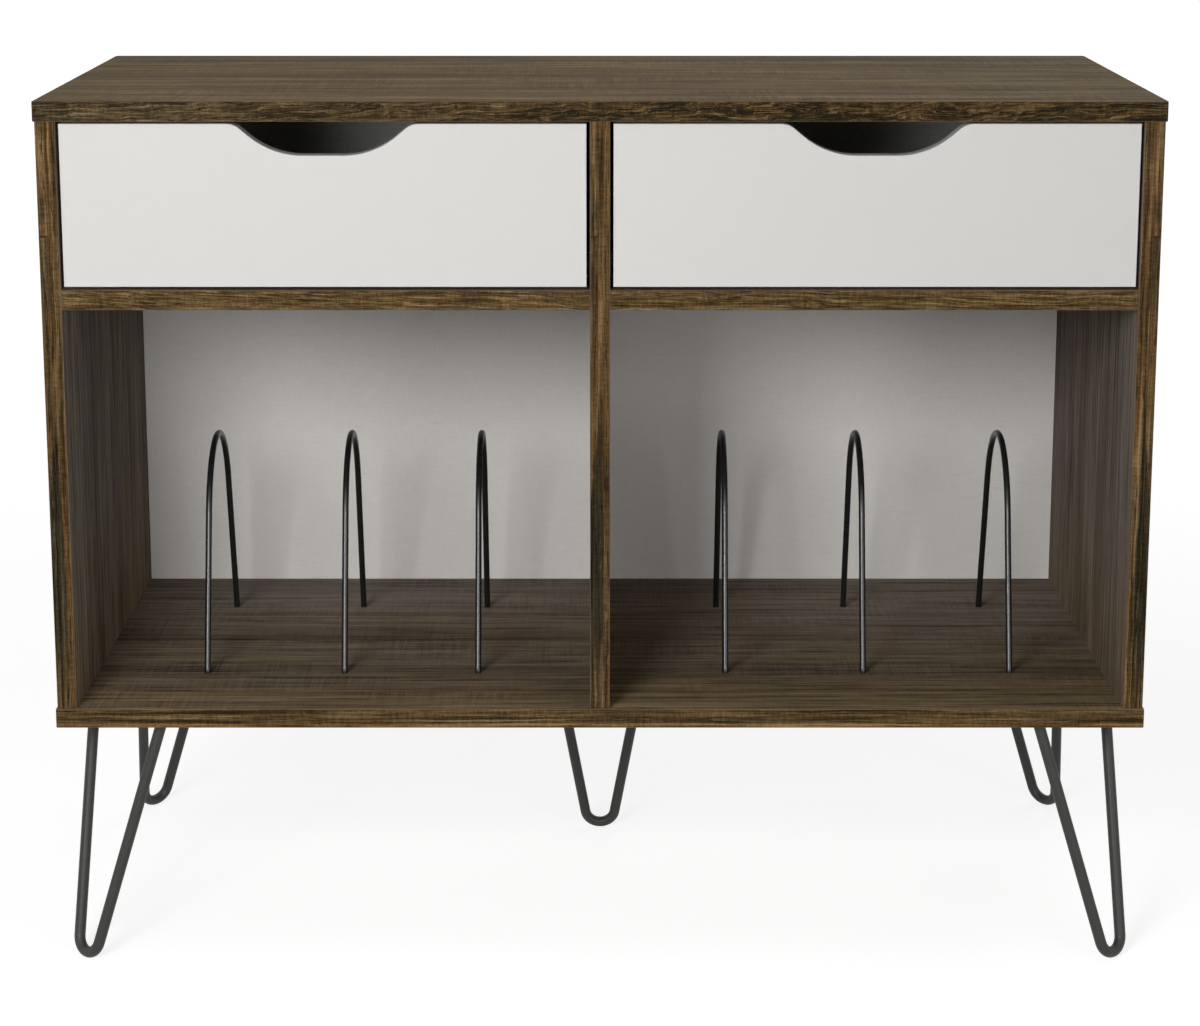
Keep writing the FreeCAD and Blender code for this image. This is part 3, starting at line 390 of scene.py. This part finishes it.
def board_rim():
    """1 at a board's own corners and edges, falling to 0 in a given width."""
    vectors = ("Place", "Middle", "Half")
    group, t, source = new_group("board_rim", vectors, ("Width",), (("Rim", "Float"),))
    away = t.vector("SUBTRACT", source["Place"], source["Middle"])
    away = t.add("VectorMath", {0: away}, operation="ABSOLUTE").outputs[0]
    a, b, c = t.parts(t.vector("SUBTRACT", source["Half"], away))
    second_nearest = t.larger(t.smaller(a, b), t.smaller(t.larger(a, b), c))
    share = t.math("DIVIDE", second_nearest, source["Width"])
    close_group(t, Rim=t.fade(share, 0.0, 1.0, 1.0, 0.0))
    return group


FACE_GROUP = laminate_face()
EDGE_GROUP = laminate_edge()
RIM_GROUP = board_rim()


def rim_of(t, place, node, width):
    low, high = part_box(node)
    rim = t.use(RIM_GROUP, Place=place, Middle=(low + high) / 2, Half=(high - low) / 2, Width=width)
    return rim["Rim"]


# The print of the uprights' front edges. Heights are above the floor, and shares are of the edge's width,
# counted from its dark side. The dark side ends in a joint, with a short wedge under it, a long wedge
# further down and a blotch above. RIPPLE_SHARE is how far the wedges' outlines wander, and the print lies
# BELOW_JOINT_SHIFT further along its grain under the joint.
JOINT_HEIGHT = 0.684
JOINT_BLUR = 0.5 * MM
JOINT_LINE = (0.4 * MM, 1.2 * MM, 0.6, 0.0)
DARK_SHARE = 0.42
SHORT_WEDGE = (0.585, 0.650, 0.15, 0.55)
LONG_WEDGE_OUTSIDE = (0.400, 0.510, -0.20, 0.36)
LONG_WEDGE_INSIDE = (0.360, 0.514, 0.74, 0.54)
LONG_WEDGE_TOP = (0.500, 0.560, 1.0, 0.0)
LONG_WEDGE_FOOT = (0.250, 0.330, 0.30, 1.0)
BLOTCH_HEIGHT = 0.708
BLOTCH_TALL = (4 * MM, 16 * MM, 0.8, 0.0)
BLOTCH_SHARE = 0.24
BLOTCH_WIDE = (0.06, 0.22, 1.0, 0.0)
RIPPLE_SHARE = 0.35
WEDGE_SHADE = (0.40, 0.46, 0.56)
BELOW_JOINT_SHIFT = 2.1


def upright_wedges(t, x, z, node, dark_side):
    """How far a point lies from the dark side, whether it lies there below the joint, and how dark the
    wedges make it."""
    low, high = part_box(node)
    share = t.remap(x, low.x, high.x)
    if dark_side == "right":
        share = t.rest(share)
    wavy = t.sum(share, (t.noise(t.combine(z, 0.0, 0.0), (26, 1, 1), 18, detail=3), RIPPLE_SHARE))
    below = t.remap(z, JOINT_HEIGHT - JOINT_BLUR, JOINT_HEIGHT + JOINT_BLUR, 1.0, 0.0)
    end = t.times(below, t.remap(share, DARK_SHARE - 0.04, DARK_SHARE, 1.0, 0.0))
    short = t.times(end, t.fade(z, *SHORT_WEDGE))
    from_inside = t.minus(wavy, t.remap(z, *LONG_WEDGE_INSIDE))
    from_outside = t.minus(wavy, t.remap(z, *LONG_WEDGE_OUTSIDE))
    within = t.times(t.fade(from_inside, -0.10, 0.06, 1.0, 0.0), t.fade(from_outside, -0.06, 0.08))
    long = t.times(t.times(within, t.fade(z, *LONG_WEDGE_TOP)), t.fade(z, *LONG_WEDGE_FOOT))
    blotch = t.times(t.fade(t.apart(z, BLOTCH_HEIGHT), *BLOTCH_TALL),
                     t.fade(t.apart(wavy, BLOTCH_SHARE), *BLOTCH_WIDE))
    return share, end, t.larger(t.larger(short, long), blotch)


def edge_print(t, place, look, tone, red, figure):
    return t.use(EDGE_GROUP, Place=place, Seed=look["seed"], Tone=tone, Red=red, Figure=figure,
                 Slope=look["slope"], Grain=look["grain"])


def upright_edge(t, x, y, z, node, look):
    """The edge print of an upright, and its colour with the wedges and the joint in it."""
    share, end, dark = upright_wedges(t, x, z, node, look["dark_side"])
    place = t.combine(t.plus(z, t.times(end, BELOW_JOINT_SHIFT)), x, y)
    edge = edge_print(t, place, look, look["tone"], t.times(t.rest(dark), look["red"]), look["figure"])
    colour = t.mix(dark, edge["Color"], t.tint(edge["Color"], WEDGE_SHADE))
    line = t.times(t.remap(t.apart(z, JOINT_HEIGHT), *JOINT_LINE),
                   t.remap(share, DARK_SHARE - 0.03, DARK_SHARE, 1.0, 0.0))
    return edge, t.scale_colour(colour, t.rest(line))


# The bottom panel's lighter lower strip, and the greyer left of the top panel's edge.
STRIP_TOP = (3.4 * MM, 4.4 * MM, 1.0, 0.0)
STRIP_TONE = 0.34
STRIP_RED = 0.6
PALE_STRETCH = (-0.45, 0.10, 1.0, 0.0)
PALE_SHADE = (1.0, 1.13, 1.32)


def flat_edge(t, x, y, z, nx, node, look):
    """The edge print of a flat board, and its colour. It runs along x, and along y at the board's ends."""
    at_end = t.remap(t.size(nx), 0.4, 0.6)
    place = t.combine(t.mix_value(at_end, x, y), z, t.mix_value(at_end, y, x))
    if look["strip"]:
        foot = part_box(node)[0].z
        strip = t.remap(t.minus(z, foot), *STRIP_TOP)
        tone = t.plus(t.times(strip, STRIP_TONE), look["tone"])
        red = t.plus(t.times(strip, STRIP_RED), look["red"])
        edge = edge_print(t, place, look, tone, red, look["figure"])
        return edge, edge["Color"]
    if look["pale_left"]:
        pale = t.remap(x, *PALE_STRETCH)
        figure = t.times(look["figure"], t.remap(pale, 0.0, 1.0, 1.0, 0.5))
        edge = edge_print(t, place, look, look["tone"], look["red"], figure)
        return edge, t.mix(pale, edge["Color"], t.tint(edge["Color"], PALE_SHADE))
    edge = edge_print(t, place, look, look["tone"], look["red"], look["figure"])
    return edge, edge["Color"]


# The uprights' faces: how far their planks are moved back, how grey they are outside, and the heights
# between which the inner faces turn browner towards the floor. The inner faces' high grey is a painted sheen
# of the pale back panel, and their browner foot is a painted reflection of the darker floor.
UPRIGHT_SHIFT = 33 * MM
OUTER_GREY = 0.45
PAINTED_REFLECTION_FOOT = (0.270, 0.430)
PAINTED_REFLECTION_GREY = 0.30
RUBBED_WALNUT = (0.200, 0.148, 0.094)


def walnut(node, look):
    """Laminate for one board, with the face print on its broad faces and the edge print on its edges."""
    material, t = new_material("walnut_" + node)
    coordinates = t.add("TexCoord").outputs
    place = coordinates["Object"]
    normal = t.parts(coordinates["Normal"])
    x, y, z = t.parts(place)
    if look["upright"]:
        flat = normal[0]
        face_place = t.combine(z, t.minus(y, UPRIGHT_SHIFT), x)
        # Painted sheen and reflection: the inner faces are greyer high up and browner towards the floor;
        # outer faces get the plain grey.
        grey = t.fade(z, *PAINTED_REFLECTION_FOOT, PAINTED_REFLECTION_GREY, look["grey"])
        if look["outer"]:
            grey = t.mix_value(t.remap(t.times(normal[0], look["outer"]), -0.5, 0.5), grey, OUTER_GREY)
        edge, edge_colour = upright_edge(t, x, y, z, node, look)
    else:
        flat = normal[2]
        face_place = place
        grey = look["grey"]
        edge, edge_colour = flat_edge(t, x, y, z, normal[0], node, look)
    face = t.use(FACE_GROUP, Place=face_place, Seed=look["seed"], Light=look["light"], Grey=grey,
                 Sawn=look["sawn"], Rear=look["rear"], Fine=look["fine"])
    on_edge = t.fade(t.size(flat), 0.55, 0.85, 1.0, 0.0)
    patchy = t.remap(t.noise(place, 40, look["seed"], detail=3), 0.35, 0.7, 0.15, 0.85)
    wear = t.times(rim_of(t, place, node, 1.1 * MM), patchy)
    colour = t.mix(on_edge, face["Color"], edge_colour)
    colour = t.mix(t.times(wear, 0.5), colour, RUBBED_WALNUT)
    height = t.mix_value(on_edge, face["Height"], edge["Height"])
    rough = t.mix_value(on_edge, face["Roughness"], edge["Roughness"])
    rough = t.minus(rough, t.times(wear, 0.12))
    surface(t, colour, rough, height, 0.12 * MM, Specular_IOR_Level=0.03)
    return material


# Other materials.


def back_board():
    """Light printed weave on the side that shows, bare brown fibre board behind."""
    material, t = new_material("back_board")
    coordinates = t.add("TexCoord").outputs
    place = coordinates["Object"]
    warp = t.noise(place, (1500, 30, 60), 21, detail=2)
    weft = t.noise(place, (60, 30, 1500), 22, detail=2)
    cloud = t.noise(place, 9, 23, detail=3)
    slub = t.fade(t.noise(place, (30, 30, 900), 24, detail=2), 0.60, 0.72)
    weave = t.sum(0.5, (warp, 0.9), (weft, 0.9))
    light = t.ramp(t.sum(weave, (cloud, 0.25)), (0.2, (0.795, 0.768, 0.738)), (0.8, (0.880, 0.858, 0.832)))
    light = t.scale_colour(light, t.remap(slub, 0.0, 1.0, 1.0, 0.95))
    chips = t.noise(place, 260, 25, detail=4, roughness=0.7)
    flecks = t.fade(t.noise(place, (120, 500, 420), 26, detail=2), 0.62, 0.70)
    bare = t.ramp(t.sum(chips, (cloud, 0.5)), (0.3, (0.19, 0.135, 0.085)), (0.7, (0.31, 0.235, 0.155)))
    bare = t.mix(t.times(flecks, 0.6), bare, (0.12, 0.080, 0.048))
    behind = t.remap(t.parts(coordinates["Normal"])[1], -0.7, -0.3)
    height = t.mix_value(behind, weave, chips)
    rough = t.mix_value(behind, t.remap(weave, 0.2, 0.8, 0.72, 0.6), t.remap(chips, 0.3, 0.7, 0.9, 0.7))
    surface(t, t.mix(behind, light, bare), rough, height, 0.06 * MM, Specular_IOR_Level=0.3)
    return material


def paint(node):
    """Matt white paint of a drawer front, with fine orange peel and a painted highlight along its edges."""
    material, t = new_material("paint_" + node)
    place = t.add("TexCoord").outputs["Object"]
    peel = t.noise(place, 480, 31, detail=2)
    drift = t.noise(place, 4, 32, detail=2)
    dust = t.fade(t.noise(place, 900, 33, detail=1), 0.70, 0.76)
    patchy = t.remap(t.noise(place, 60, 34, detail=3), 0.4, 0.65)
    # Painted highlight: patchy lighter paint along the front's edges.
    painted_edge_highlight = t.times(rim_of(t, place, node, 1.6 * MM), patchy)
    tone = t.sum(0.5, (peel, 0.3), (drift, 0.5))
    colour = t.ramp(tone, (0.2, (0.575, 0.567, 0.545)), (0.8, (0.594, 0.586, 0.566)))
    colour = t.scale_colour(colour, t.remap(dust, 0.0, 1.0, 1.0, 0.965))
    colour = t.mix(t.times(painted_edge_highlight, 0.5), colour, (0.70, 0.695, 0.675))
    rough = t.sum(0.52, (peel, 0.12), (drift, 0.10))
    surface(t, colour, rough, peel, 0.03 * MM, Specular_IOR_Level=0.4)
    return material


def drawer_board(node):
    """Pale melamine of a drawer box, with a faint grain and darker edges."""
    material, t = new_material("melamine_" + node)
    place = t.add("TexCoord").outputs["Object"]
    grain = t.noise(place, (700, 12, 12) if node.endswith("bottom") else (12, 12, 700), 41, detail=3)
    pebble = t.noise(place, 620, 42, detail=2)
    drift = t.noise(place, 5, 43, detail=2)
    tone = t.sum(0.5, (grain, 0.5), (pebble, 0.9), (drift, 0.2))
    colour = t.ramp(tone, (0.2, (0.64, 0.637, 0.62)), (0.8, (0.88, 0.877, 0.86)))
    rim = rim_of(t, place, node, 1.2 * MM)
    colour = t.mix(t.times(rim, 0.4), colour, (0.50, 0.475, 0.435))
    rough = t.sum(0.5, (pebble, 0.16), (grain, 0.08))
    surface(t, colour, rough, t.sum(pebble, (grain, 0.4)), 0.04 * MM, Specular_IOR_Level=0.4)
    return material


def powder_coat(name, dark, light, rough, specular, relief):
    """Satin powder coat: fine pebbled skin, a little worn in places."""
    material, t = new_material(name)
    place = t.add("TexCoord").outputs["Object"]
    pebble = t.noise(place, 950, 51, detail=2, roughness=0.6)
    drift = t.noise(place, 14, 52, detail=3)
    rub = t.fade(t.noise(place, 90, 53, detail=4, roughness=0.65), 0.60, 0.74)
    colour = t.ramp(t.sum(0.5, (pebble, 0.8), (drift, 0.4)), (0.2, dark), (0.8, light))
    colour = t.scale_colour(colour, t.remap(rub, 0.0, 1.0, 1.0, 1.22))
    roughness = t.minus(t.sum(rough, (pebble, 0.16), (drift, 0.14)), t.times(rub, 0.08))
    surface(t, colour, roughness, pebble, relief, Specular_IOR_Level=specular)
    return material


def plated_steel(name, dark, light, rough, per_metre):
    """Zinc-plated steel, with a fine tone, spangles and dull patches."""
    material, t = new_material(name)
    place = t.add("TexCoord").outputs["Object"]
    fine = t.noise(place, per_metre, 61, detail=3)
    cells = t.add("TexVoronoi", {"Vector": t.vector("MULTIPLY", place, (170, 170, 170)), "Scale": 1.0})
    spangle = t.parts(cells.outputs["Color"])[0]
    dull = t.fade(t.noise(place, 45, 62, detail=4), 0.45, 0.70)
    colour = t.ramp(t.sum(0.5, (fine, 0.6), (spangle, 0.35)), (0.2, dark), (0.8, light))
    colour = t.scale_colour(colour, t.remap(dull, 0.0, 1.0, 1.0, 0.80))
    roughness = t.plus(t.sum(rough, (fine, 0.15), (spangle, 0.08)), t.times(dull, 0.15))
    surface(t, colour, roughness, fine, 0.03 * MM, Metallic=1.0)
    return material


def moulded_plastic():
    """Dark nylon of the rollers."""
    material, t = new_material("roller_nylon")
    place = t.add("TexCoord").outputs["Object"]
    skin = t.noise(place, 700, 71, detail=2)
    drift = t.noise(place, 50, 72, detail=3)
    tone = t.sum(0.5, (drift, 0.7), (skin, 0.2))
    colour = t.ramp(tone, (0.2, (0.022, 0.022, 0.022)), (0.8, (0.040, 0.040, 0.040)))
    rough = t.sum(0.42, (skin, 0.15), (drift, 0.15))
    surface(t, colour, rough, skin, 0.03 * MM, Specular_IOR_Level=0.5)
    return material


def beech():
    """Pale raw wood of the dowels."""
    material, t = new_material("dowel_beech")
    place = t.add("TexCoord").outputs["Object"]
    grain = t.noise(place, 60, 81, detail=4)
    fleck = t.fade(t.noise(place, 500, 82, detail=2), 0.6, 0.72)
    colour = t.ramp(grain, (0.3, (0.42, 0.29, 0.17)), (0.7, (0.56, 0.41, 0.26)))
    colour = t.scale_colour(colour, t.remap(fleck, 0.0, 1.0, 1.0, 0.8))
    surface(t, colour, t.remap(grain, 0.3, 0.7, 0.8, 0.65), grain, 0.1 * MM)
    return material


# Materials on the CAD nodes. An upright's dark side is the side where its wedges lie, and outer is the way
# that its outer face points along x, or 0 where both faces are inside.

# The uprights' high grey is mostly a painted sheen of the pale back panel.
UPRIGHT = dict(
    upright=True, seed=5, light=0.575, grey=0.95, sawn=0.2, rear=0.0, fine=1.0,
    figure=0.2, red=0.9, slope=0.0, grain=1.0,
)
FLAT = dict(
    upright=False, light=0.54, grey=0.4, sawn=0.9, rear=0.0, fine=0.0,
    red=0.3, slope=0.0, grain=1.0, strip=False, pale_left=False,
)
SHELF = dict(FLAT, grain=2.6)
BOARDS = {
    "top_panel": dict(
        FLAT, seed=1, light=0.51, grey=-0.10, figure=1.0, tone=0.31, grain=2.4, slope=-0.05, pale_left=True),
    # The bottom panel gets the painted light, lighter and cooler towards its back.
    "bottom_panel": dict(FLAT, seed=2, grey=0.42, figure=0.2, tone=0.42, rear=1.0, strip=True),
    "left_drawer_shelf": dict(SHELF, seed=3, figure=0.25, tone=0.50, slope=0.045),
    "right_drawer_shelf": dict(SHELF, seed=4, figure=0.30, tone=0.49, slope=0.02),
    "left_side_panel": dict(UPRIGHT, tone=0.45, dark_side="left", outer=-1),
    "center_partition": dict(UPRIGHT, tone=0.42, dark_side="left", outer=0),
    "right_side_panel": dict(UPRIGHT, tone=0.50, dark_side="right", outer=1),
}
PLAIN = {
    "back_board": back_board(),
    "leg_steel": powder_coat(
        "leg_coat", (0.013, 0.014, 0.0115), (0.043, 0.046, 0.0385), 0.48, 0.36, 0.04 * MM),
    "divider_steel": powder_coat(
        "divider_coat", (0.007, 0.007, 0.007), (0.014, 0.014, 0.014), 0.30, 0.55, 0.01 * MM),
    "runner_steel": powder_coat(
        "runner_coat", (0.016, 0.016, 0.017), (0.030, 0.030, 0.031), 0.45, 0.40, 0.04 * MM),
    "roller": moulded_plastic(),
    "fixing_steel": plated_steel("fixing_zinc", (0.46, 0.45, 0.42), (0.62, 0.60, 0.56), 0.40, 400),
    "screw_steel": plated_steel("screw_zinc", (0.20, 0.20, 0.20), (0.34, 0.34, 0.34), 0.36, 500),
    "dowel_wood": beech(),
}
for name, node in NODES.items():
    if name in BOARDS:
        finish = walnut(name, BOARDS[name])
    elif SLOT_OF[name] == "front_paint":
        finish = paint(name)
    elif SLOT_OF[name] == "drawer_board":
        finish = drawer_board(name)
    else:
        finish = PLAIN[SLOT_OF[name]]
    for slot in node.material_slots:
        slot.material = finish


# Small fasteners: the CAD screws and cam locks with softened heads and a cross recess.

# Vertices closer than CLOSE are one, and those within LEVEL of a head's face lie in it.
CLOSE = 0.005 * MM
LEVEL = 0.02 * MM
# In degrees: faces that meet at less than FLAT_ANGLE are joined, and corners over SOFT_ANGLE are softened.
FLAT_ANGLE = 2
SOFT_ANGLE = 50
# How wide a recess is at its floor, as a share of its width at the head's face.
RECESS_TAPER = 0.55
# How much a recess is turned, in degrees for each metre of its place, so that the heads differ.
TURN_BY_X = 7919000
TURN_BY_Y = 6271000


def link(name, mesh):
    made = bpy.data.objects.new(name, mesh)
    scene.collection.objects.link(made)
    return made


def as_mesh(name, source):
    """A new mesh with what a bmesh holds. The bmesh is freed."""
    mesh = bpy.data.meshes.new(name)
    source.to_mesh(mesh)
    source.free()
    return mesh


def skin(mesh, rings):
    """Faces between rings of equal count, and one over each end."""
    count = len(rings[0])
    for upper, lower in zip(rings, rings[1:]):
        for i in range(count):
            following = (i + 1) % count
            mesh.faces.new((upper[i], upper[following], lower[following], lower[i]))
    mesh.faces.new(rings[0])
    mesh.faces.new(rings[-1])


def loose_parts(mesh):
    """The vertex places of each separate solid in a mesh whose doubles are merged."""
    seen = set()
    for start in mesh.verts:
        if start in seen:
            continue
        seen.add(start)
        part = []
        queue = [start]
        while queue:
            vertex = queue.pop()
            part.append(vertex.co.copy())
            for edge in vertex.link_edges:
                other = edge.other_vert(vertex)
                if other not in seen:
                    seen.add(other)
                    queue.append(other)
        yield part


def span(points):
    low = Vector(min(p[i] for p in points) for i in range(3))
    high = Vector(max(p[i] for p in points) for i in range(3))
    return low, high


def end_face(points, axis, sign):
    """The middle of a turned fixing's end, the way that it faces and its radius there."""
    low, high = span(points)
    middle = (low + high) / 2
    middle[axis] = high[axis] if sign > 0 else low[axis]
    facing = Vector((0, 0, 0))
    facing[axis] = sign
    across = [p[(axis + 1) % 3] for p in points if abs(p[axis] - middle[axis]) < LEVEL]
    return middle, facing, (max(across) - min(across)) / 2


def screw_head(axis):
    """Finds a screw's head, which is the wider of the two ends on its axis."""
    def find(points):
        return max((end_face(points, axis, sign) for sign in (1, -1)), key=lambda end: end[2])
    return find


def cam_face(points):
    """A cam lock is shorter than it is wide, and its face lies in the nearer face of its board."""
    low, high = span(points)
    size = high - low
    middle = (low + high) / 2
    if size.z < size.x:
        return end_face(points, 2, 1)
    uprights = ("left_side_panel", "center_partition", "right_side_panel")
    board = min(map(middle_of, uprights), key=lambda place: abs(place.x - middle.x))
    return end_face(points, 0, 1 if middle.x > board.x else -1)


def cross_tool(width, reach, depth):
    """A tapered cross whose arms narrow towards its point, z = 0 at the head's face."""
    tool = bmesh.new()
    rings = []
    for z, share in ((depth, 1.0), (0.0, 1.0), (-depth, RECESS_TAPER)):
        half = width / 2 * share
        end = reach * share
        arm = [(half, half), (half, end), (-half, end)]
        ring = []
        for quarter in range(4):
            ring += [tool.verts.new((x, y, z)) for x, y in arm]
            arm = [(-y, x) for x, y in arm]
        rings.append(ring)
    skin(tool, rings)
    bmesh.ops.recalc_face_normals(tool, faces=tool.faces)
    return tool


def recess_cutters(source, find_head, width_share, reach_share, depth):
    """A cross tool in each head, turned by an angle that the head's place gives."""
    cutters = bmesh.new()
    for points in loose_parts(source):
        middle, facing, radius = find_head(points)
        tool = cross_tool(radius * width_share, radius * reach_share, depth)
        angle = (middle.x * TURN_BY_X + middle.y * TURN_BY_Y) % 90
        turn = facing.to_track_quat("Z", "Y").to_matrix().to_4x4()
        spin = Matrix.Rotation(math.radians(angle), 4, "Z")
        tool.transform(Matrix.Translation(middle) @ turn @ spin)
        single = as_mesh("cutter", tool)
        cutters.from_mesh(single)
        bpy.data.meshes.remove(single)
    return cutters


def soften_and_cut(piece, soften, cutter):
    """Rounds a piece's corners and cuts the recesses, and applies both."""
    soft = piece.modifiers.new("soften", "BEVEL")
    soft.width = soften
    soft.segments = 2
    soft.limit_method = "ANGLE"
    soft.angle_limit = math.radians(SOFT_ANGLE)
    cut = piece.modifiers.new("recess", "BOOLEAN")
    cut.object = cutter
    cut.solver = "EXACT"
    bpy.context.view_layer.update()
    finished = piece.evaluated_get(bpy.context.evaluated_depsgraph_get())
    final = bpy.data.meshes.new_from_object(finished)
    piece.modifiers.clear()
    piece.data = final


def with_recesses(node, soften, *recess):
    """A copy of a CAD node with soft corners and a cross recess in each head."""
    source = bmesh.new()
    source.from_mesh(NODES[node].data)
    bmesh.ops.remove_doubles(source, verts=source.verts, dist=CLOSE)
    bmesh.ops.dissolve_limit(
        source, angle_limit=math.radians(FLAT_ANGLE), verts=source.verts, edges=source.edges)
    cutters = recess_cutters(source, *recess)
    piece = link(node + "_detailed", as_mesh(node + "_detailed", source))
    cutter = link(node + "_cutters", as_mesh(node + "_cutters", cutters))
    soften_and_cut(piece, soften, cutter)
    bpy.data.objects.remove(cutter)
    return piece


# Each group of fasteners: its body, the width of its soft corners, how its heads are found, the width and
# reach of the recess's arms as shares of the head's radius, and the recess's depth.
FASTENERS = {
    "leg_screws": ("cabinet", 0.7 * MM, screw_head(2), 0.26, 0.62, 1.3 * MM),
    "bottom_screws": ("cabinet", 0.3 * MM, screw_head(2), 0.30, 0.62, 1.8 * MM),
    "cam_locks": ("cabinet", 0.3 * MM, cam_face, 0.26, 0.48, 3.0 * MM),
    "cabinet_runner_screws": ("cabinet", 0.5 * MM, screw_head(0), 0.28, 0.62, 1.0 * MM),
    "left_drawer_runner_screws": ("left_drawer", 0.5 * MM, screw_head(0), 0.28, 0.62, 1.0 * MM),
    "right_drawer_runner_screws": ("right_drawer", 0.5 * MM, screw_head(0), 0.28, 0.62, 1.0 * MM),
}
for node, (body, soften, *recess) in FASTENERS.items():
    piece = with_recesses(node, soften, *recess)
    slot = SLOT_OF[node]
    piece.data.materials.clear()
    piece.data.materials.append(PLAIN[slot])
    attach(piece, body)
    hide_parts(node)


# The nails of the back panel, in rows along the flat boards and columns along the uprights.

ROW_SHARES = (0.97, 0.73, 0.49, 0.25)
COLUMN_SHARES = (0.14, 0.29, 0.44, 0.57, 0.85)
NAIL_TURNS = 16
# From the head to the point: radius and distance behind the panel's face, in millimetres.
NAIL_PROFILE = (
    (0.5, 0.40), (1.2, 0.34), (1.7, 0.18), (1.9, -0.10), (0.8, -0.30), (0.8, -14.0), (0.25, -16.0),
)


def nail_places():
    """The nails' places in x and z."""
    side = -middle_of("left_side_panel").x
    levels = [middle_of(node).z for node in ("bottom_panel", "left_drawer_shelf", "top_panel")]
    places = []
    for level in levels:
        places += [(sign * share * side, level) for sign in (-1, 1) for share in ROW_SHARES]
    for column in (-side, 0.0, side):
        places += [(column, levels[0] + share * (levels[2] - levels[0])) for share in COLUMN_SHARES]
    return places


def lathe(mesh, profile, turns, place):
    """A turned form along y, closed at both ends."""
    angles = [2 * math.pi * i / turns for i in range(turns)]
    rings = []
    for radius, y in profile:
        rings.append([mesh.verts.new(place + Vector((radius * math.cos(a), y, radius * math.sin(a))))
                      for a in angles])
    skin(mesh, rings)


nails = bmesh.new()
back_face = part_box("back_panel")[1].y
for x, z in nail_places():
    profile = [(radius * MM, y * MM) for radius, y in NAIL_PROFILE]
    lathe(nails, profile, NAIL_TURNS, Vector((x, back_face, z)))
bmesh.ops.recalc_face_normals(nails, faces=nails.faces)
nail_mesh = as_mesh("back_nails", nails)
nail_mesh.materials.append(PLAIN["fixing_steel"])
for face in nail_mesh.polygons:
    face.use_smooth = True
back_nails = link("back_nails", nail_mesh)
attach(back_nails, "cabinet")


# Floor, world and lamps.

FLOOR_HALF = 20.0
FLOOR_LOW = 0.2 * MM
FLOOR_CORNERS = ((-1, -1), (1, -1), (1, 1), (-1, 1))
FLOOR_LIT = 0.80
FLOOR_SHADED = 0.45
# How the floor's own white grows with the distance from the middle.
FLOOR_GLOW = (1.0, 4.0, 0.80, 1.0)
ROOM_LIGHT = 0.10


def grey(level):
    return (level, level, level, 1)


def seen_plainly(tree):
    """1 for what the camera sees, directly or in gloss and glass."""
    path = tree.add("LightPath").outputs
    seen = tree.larger(path["Is Camera Ray"], path["Is Glossy Ray"])
    return tree.larger(seen, path["Is Transmission Ray"])


def floor_white():
    """Pale for light that falls on it, and white but for the shadow to the camera. It is clear from below,
    so that the underside can be looked at."""
    material, t = new_material("floor")
    lit = t.add("BsdfDiffuse", {"Color": grey(FLOOR_LIT)})
    shaded = t.add("BsdfDiffuse", {"Color": grey(FLOOR_SHADED)})
    away = t.add("VectorMath", {0: t.add("TexCoord").outputs["Object"]}, operation="LENGTH")
    glow = t.add("Emission", {"Color": grey(1), "Strength": t.remap(away.outputs["Value"], *FLOOR_GLOW)})
    white = t.add("AddShader", {0: shaded.outputs[0], 1: glow.outputs[0]})
    both = t.add("MixShader", {0: seen_plainly(t), 1: lit.outputs[0], 2: white.outputs[0]})
    clear = t.add("BsdfTransparent")
    behind = t.add("NewGeometry").outputs["Backfacing"]
    one_way = t.add("MixShader", {0: behind, 1: both.outputs[0], 2: clear.outputs[0]})
    t.add("OutputMaterial", {0: one_way.outputs[0]})
    return material


def studio_world():
    """A dim even light that shows as white."""
    world = bpy.data.worlds.new("studio")
    world.use_nodes = True
    world.node_tree.nodes.clear()
    t = Tree(world.node_tree)
    room = t.add("Background", {"Color": grey(1), "Strength": ROOM_LIGHT})
    plain = t.add("Background", {"Color": grey(1), "Strength": 1.0})
    both = t.add("MixShader", {0: seen_plainly(t), 1: room.outputs[0], 2: plain.outputs[0]})
    t.add("OutputWorld", {0: both.outputs[0]})
    return world


floor_mesh = bpy.data.meshes.new("floor")
corners = [(FLOOR_HALF * x, FLOOR_HALF * y, -FLOOR_LOW) for x, y in FLOOR_CORNERS]
floor_mesh.from_pydata(corners, [], [(0, 1, 2, 3)])
floor_mesh.materials.append(floor_white())
floor = link("floor", floor_mesh)
scene.world = studio_world()

# Each lamp: its place, the point that it aims at, its width, its height and its power.
LAMPS = {
    "key": ((-0.75, -2.4, 1.2), (0, 0, 0.5), 0.7, 0.7, 32),
    "left_soft": ((-1.7, -4.0, 2.0), (0, 0, 0.45), 1.6, 1.2, 24),
    "right_soft": ((2.0, -3.7, 1.1), (0, 0, 0.45), 1.4, 1.3, 29.5),
    "overhead": ((0, -0.3, 3.2), (0, 0, 0.5), 2.4, 2.0, 15),
    "rear_soft": ((1.4, 3.2, 2.6), (0, 0, 0.5), 1.6, 1.4, 15),
}
for name, (place, aim, width, height, power) in LAMPS.items():
    lamp = bpy.data.lights.new(name, "AREA")
    lamp.shape = "RECTANGLE"
    lamp.size = width
    lamp.size_y = height
    lamp.energy = power
    light = link(name, lamp)
    light.location = place
    light.visible_camera = False
    light.rotation_euler = (Vector(aim) - Vector(place)).to_track_quat("-Z", "Y").to_euler()
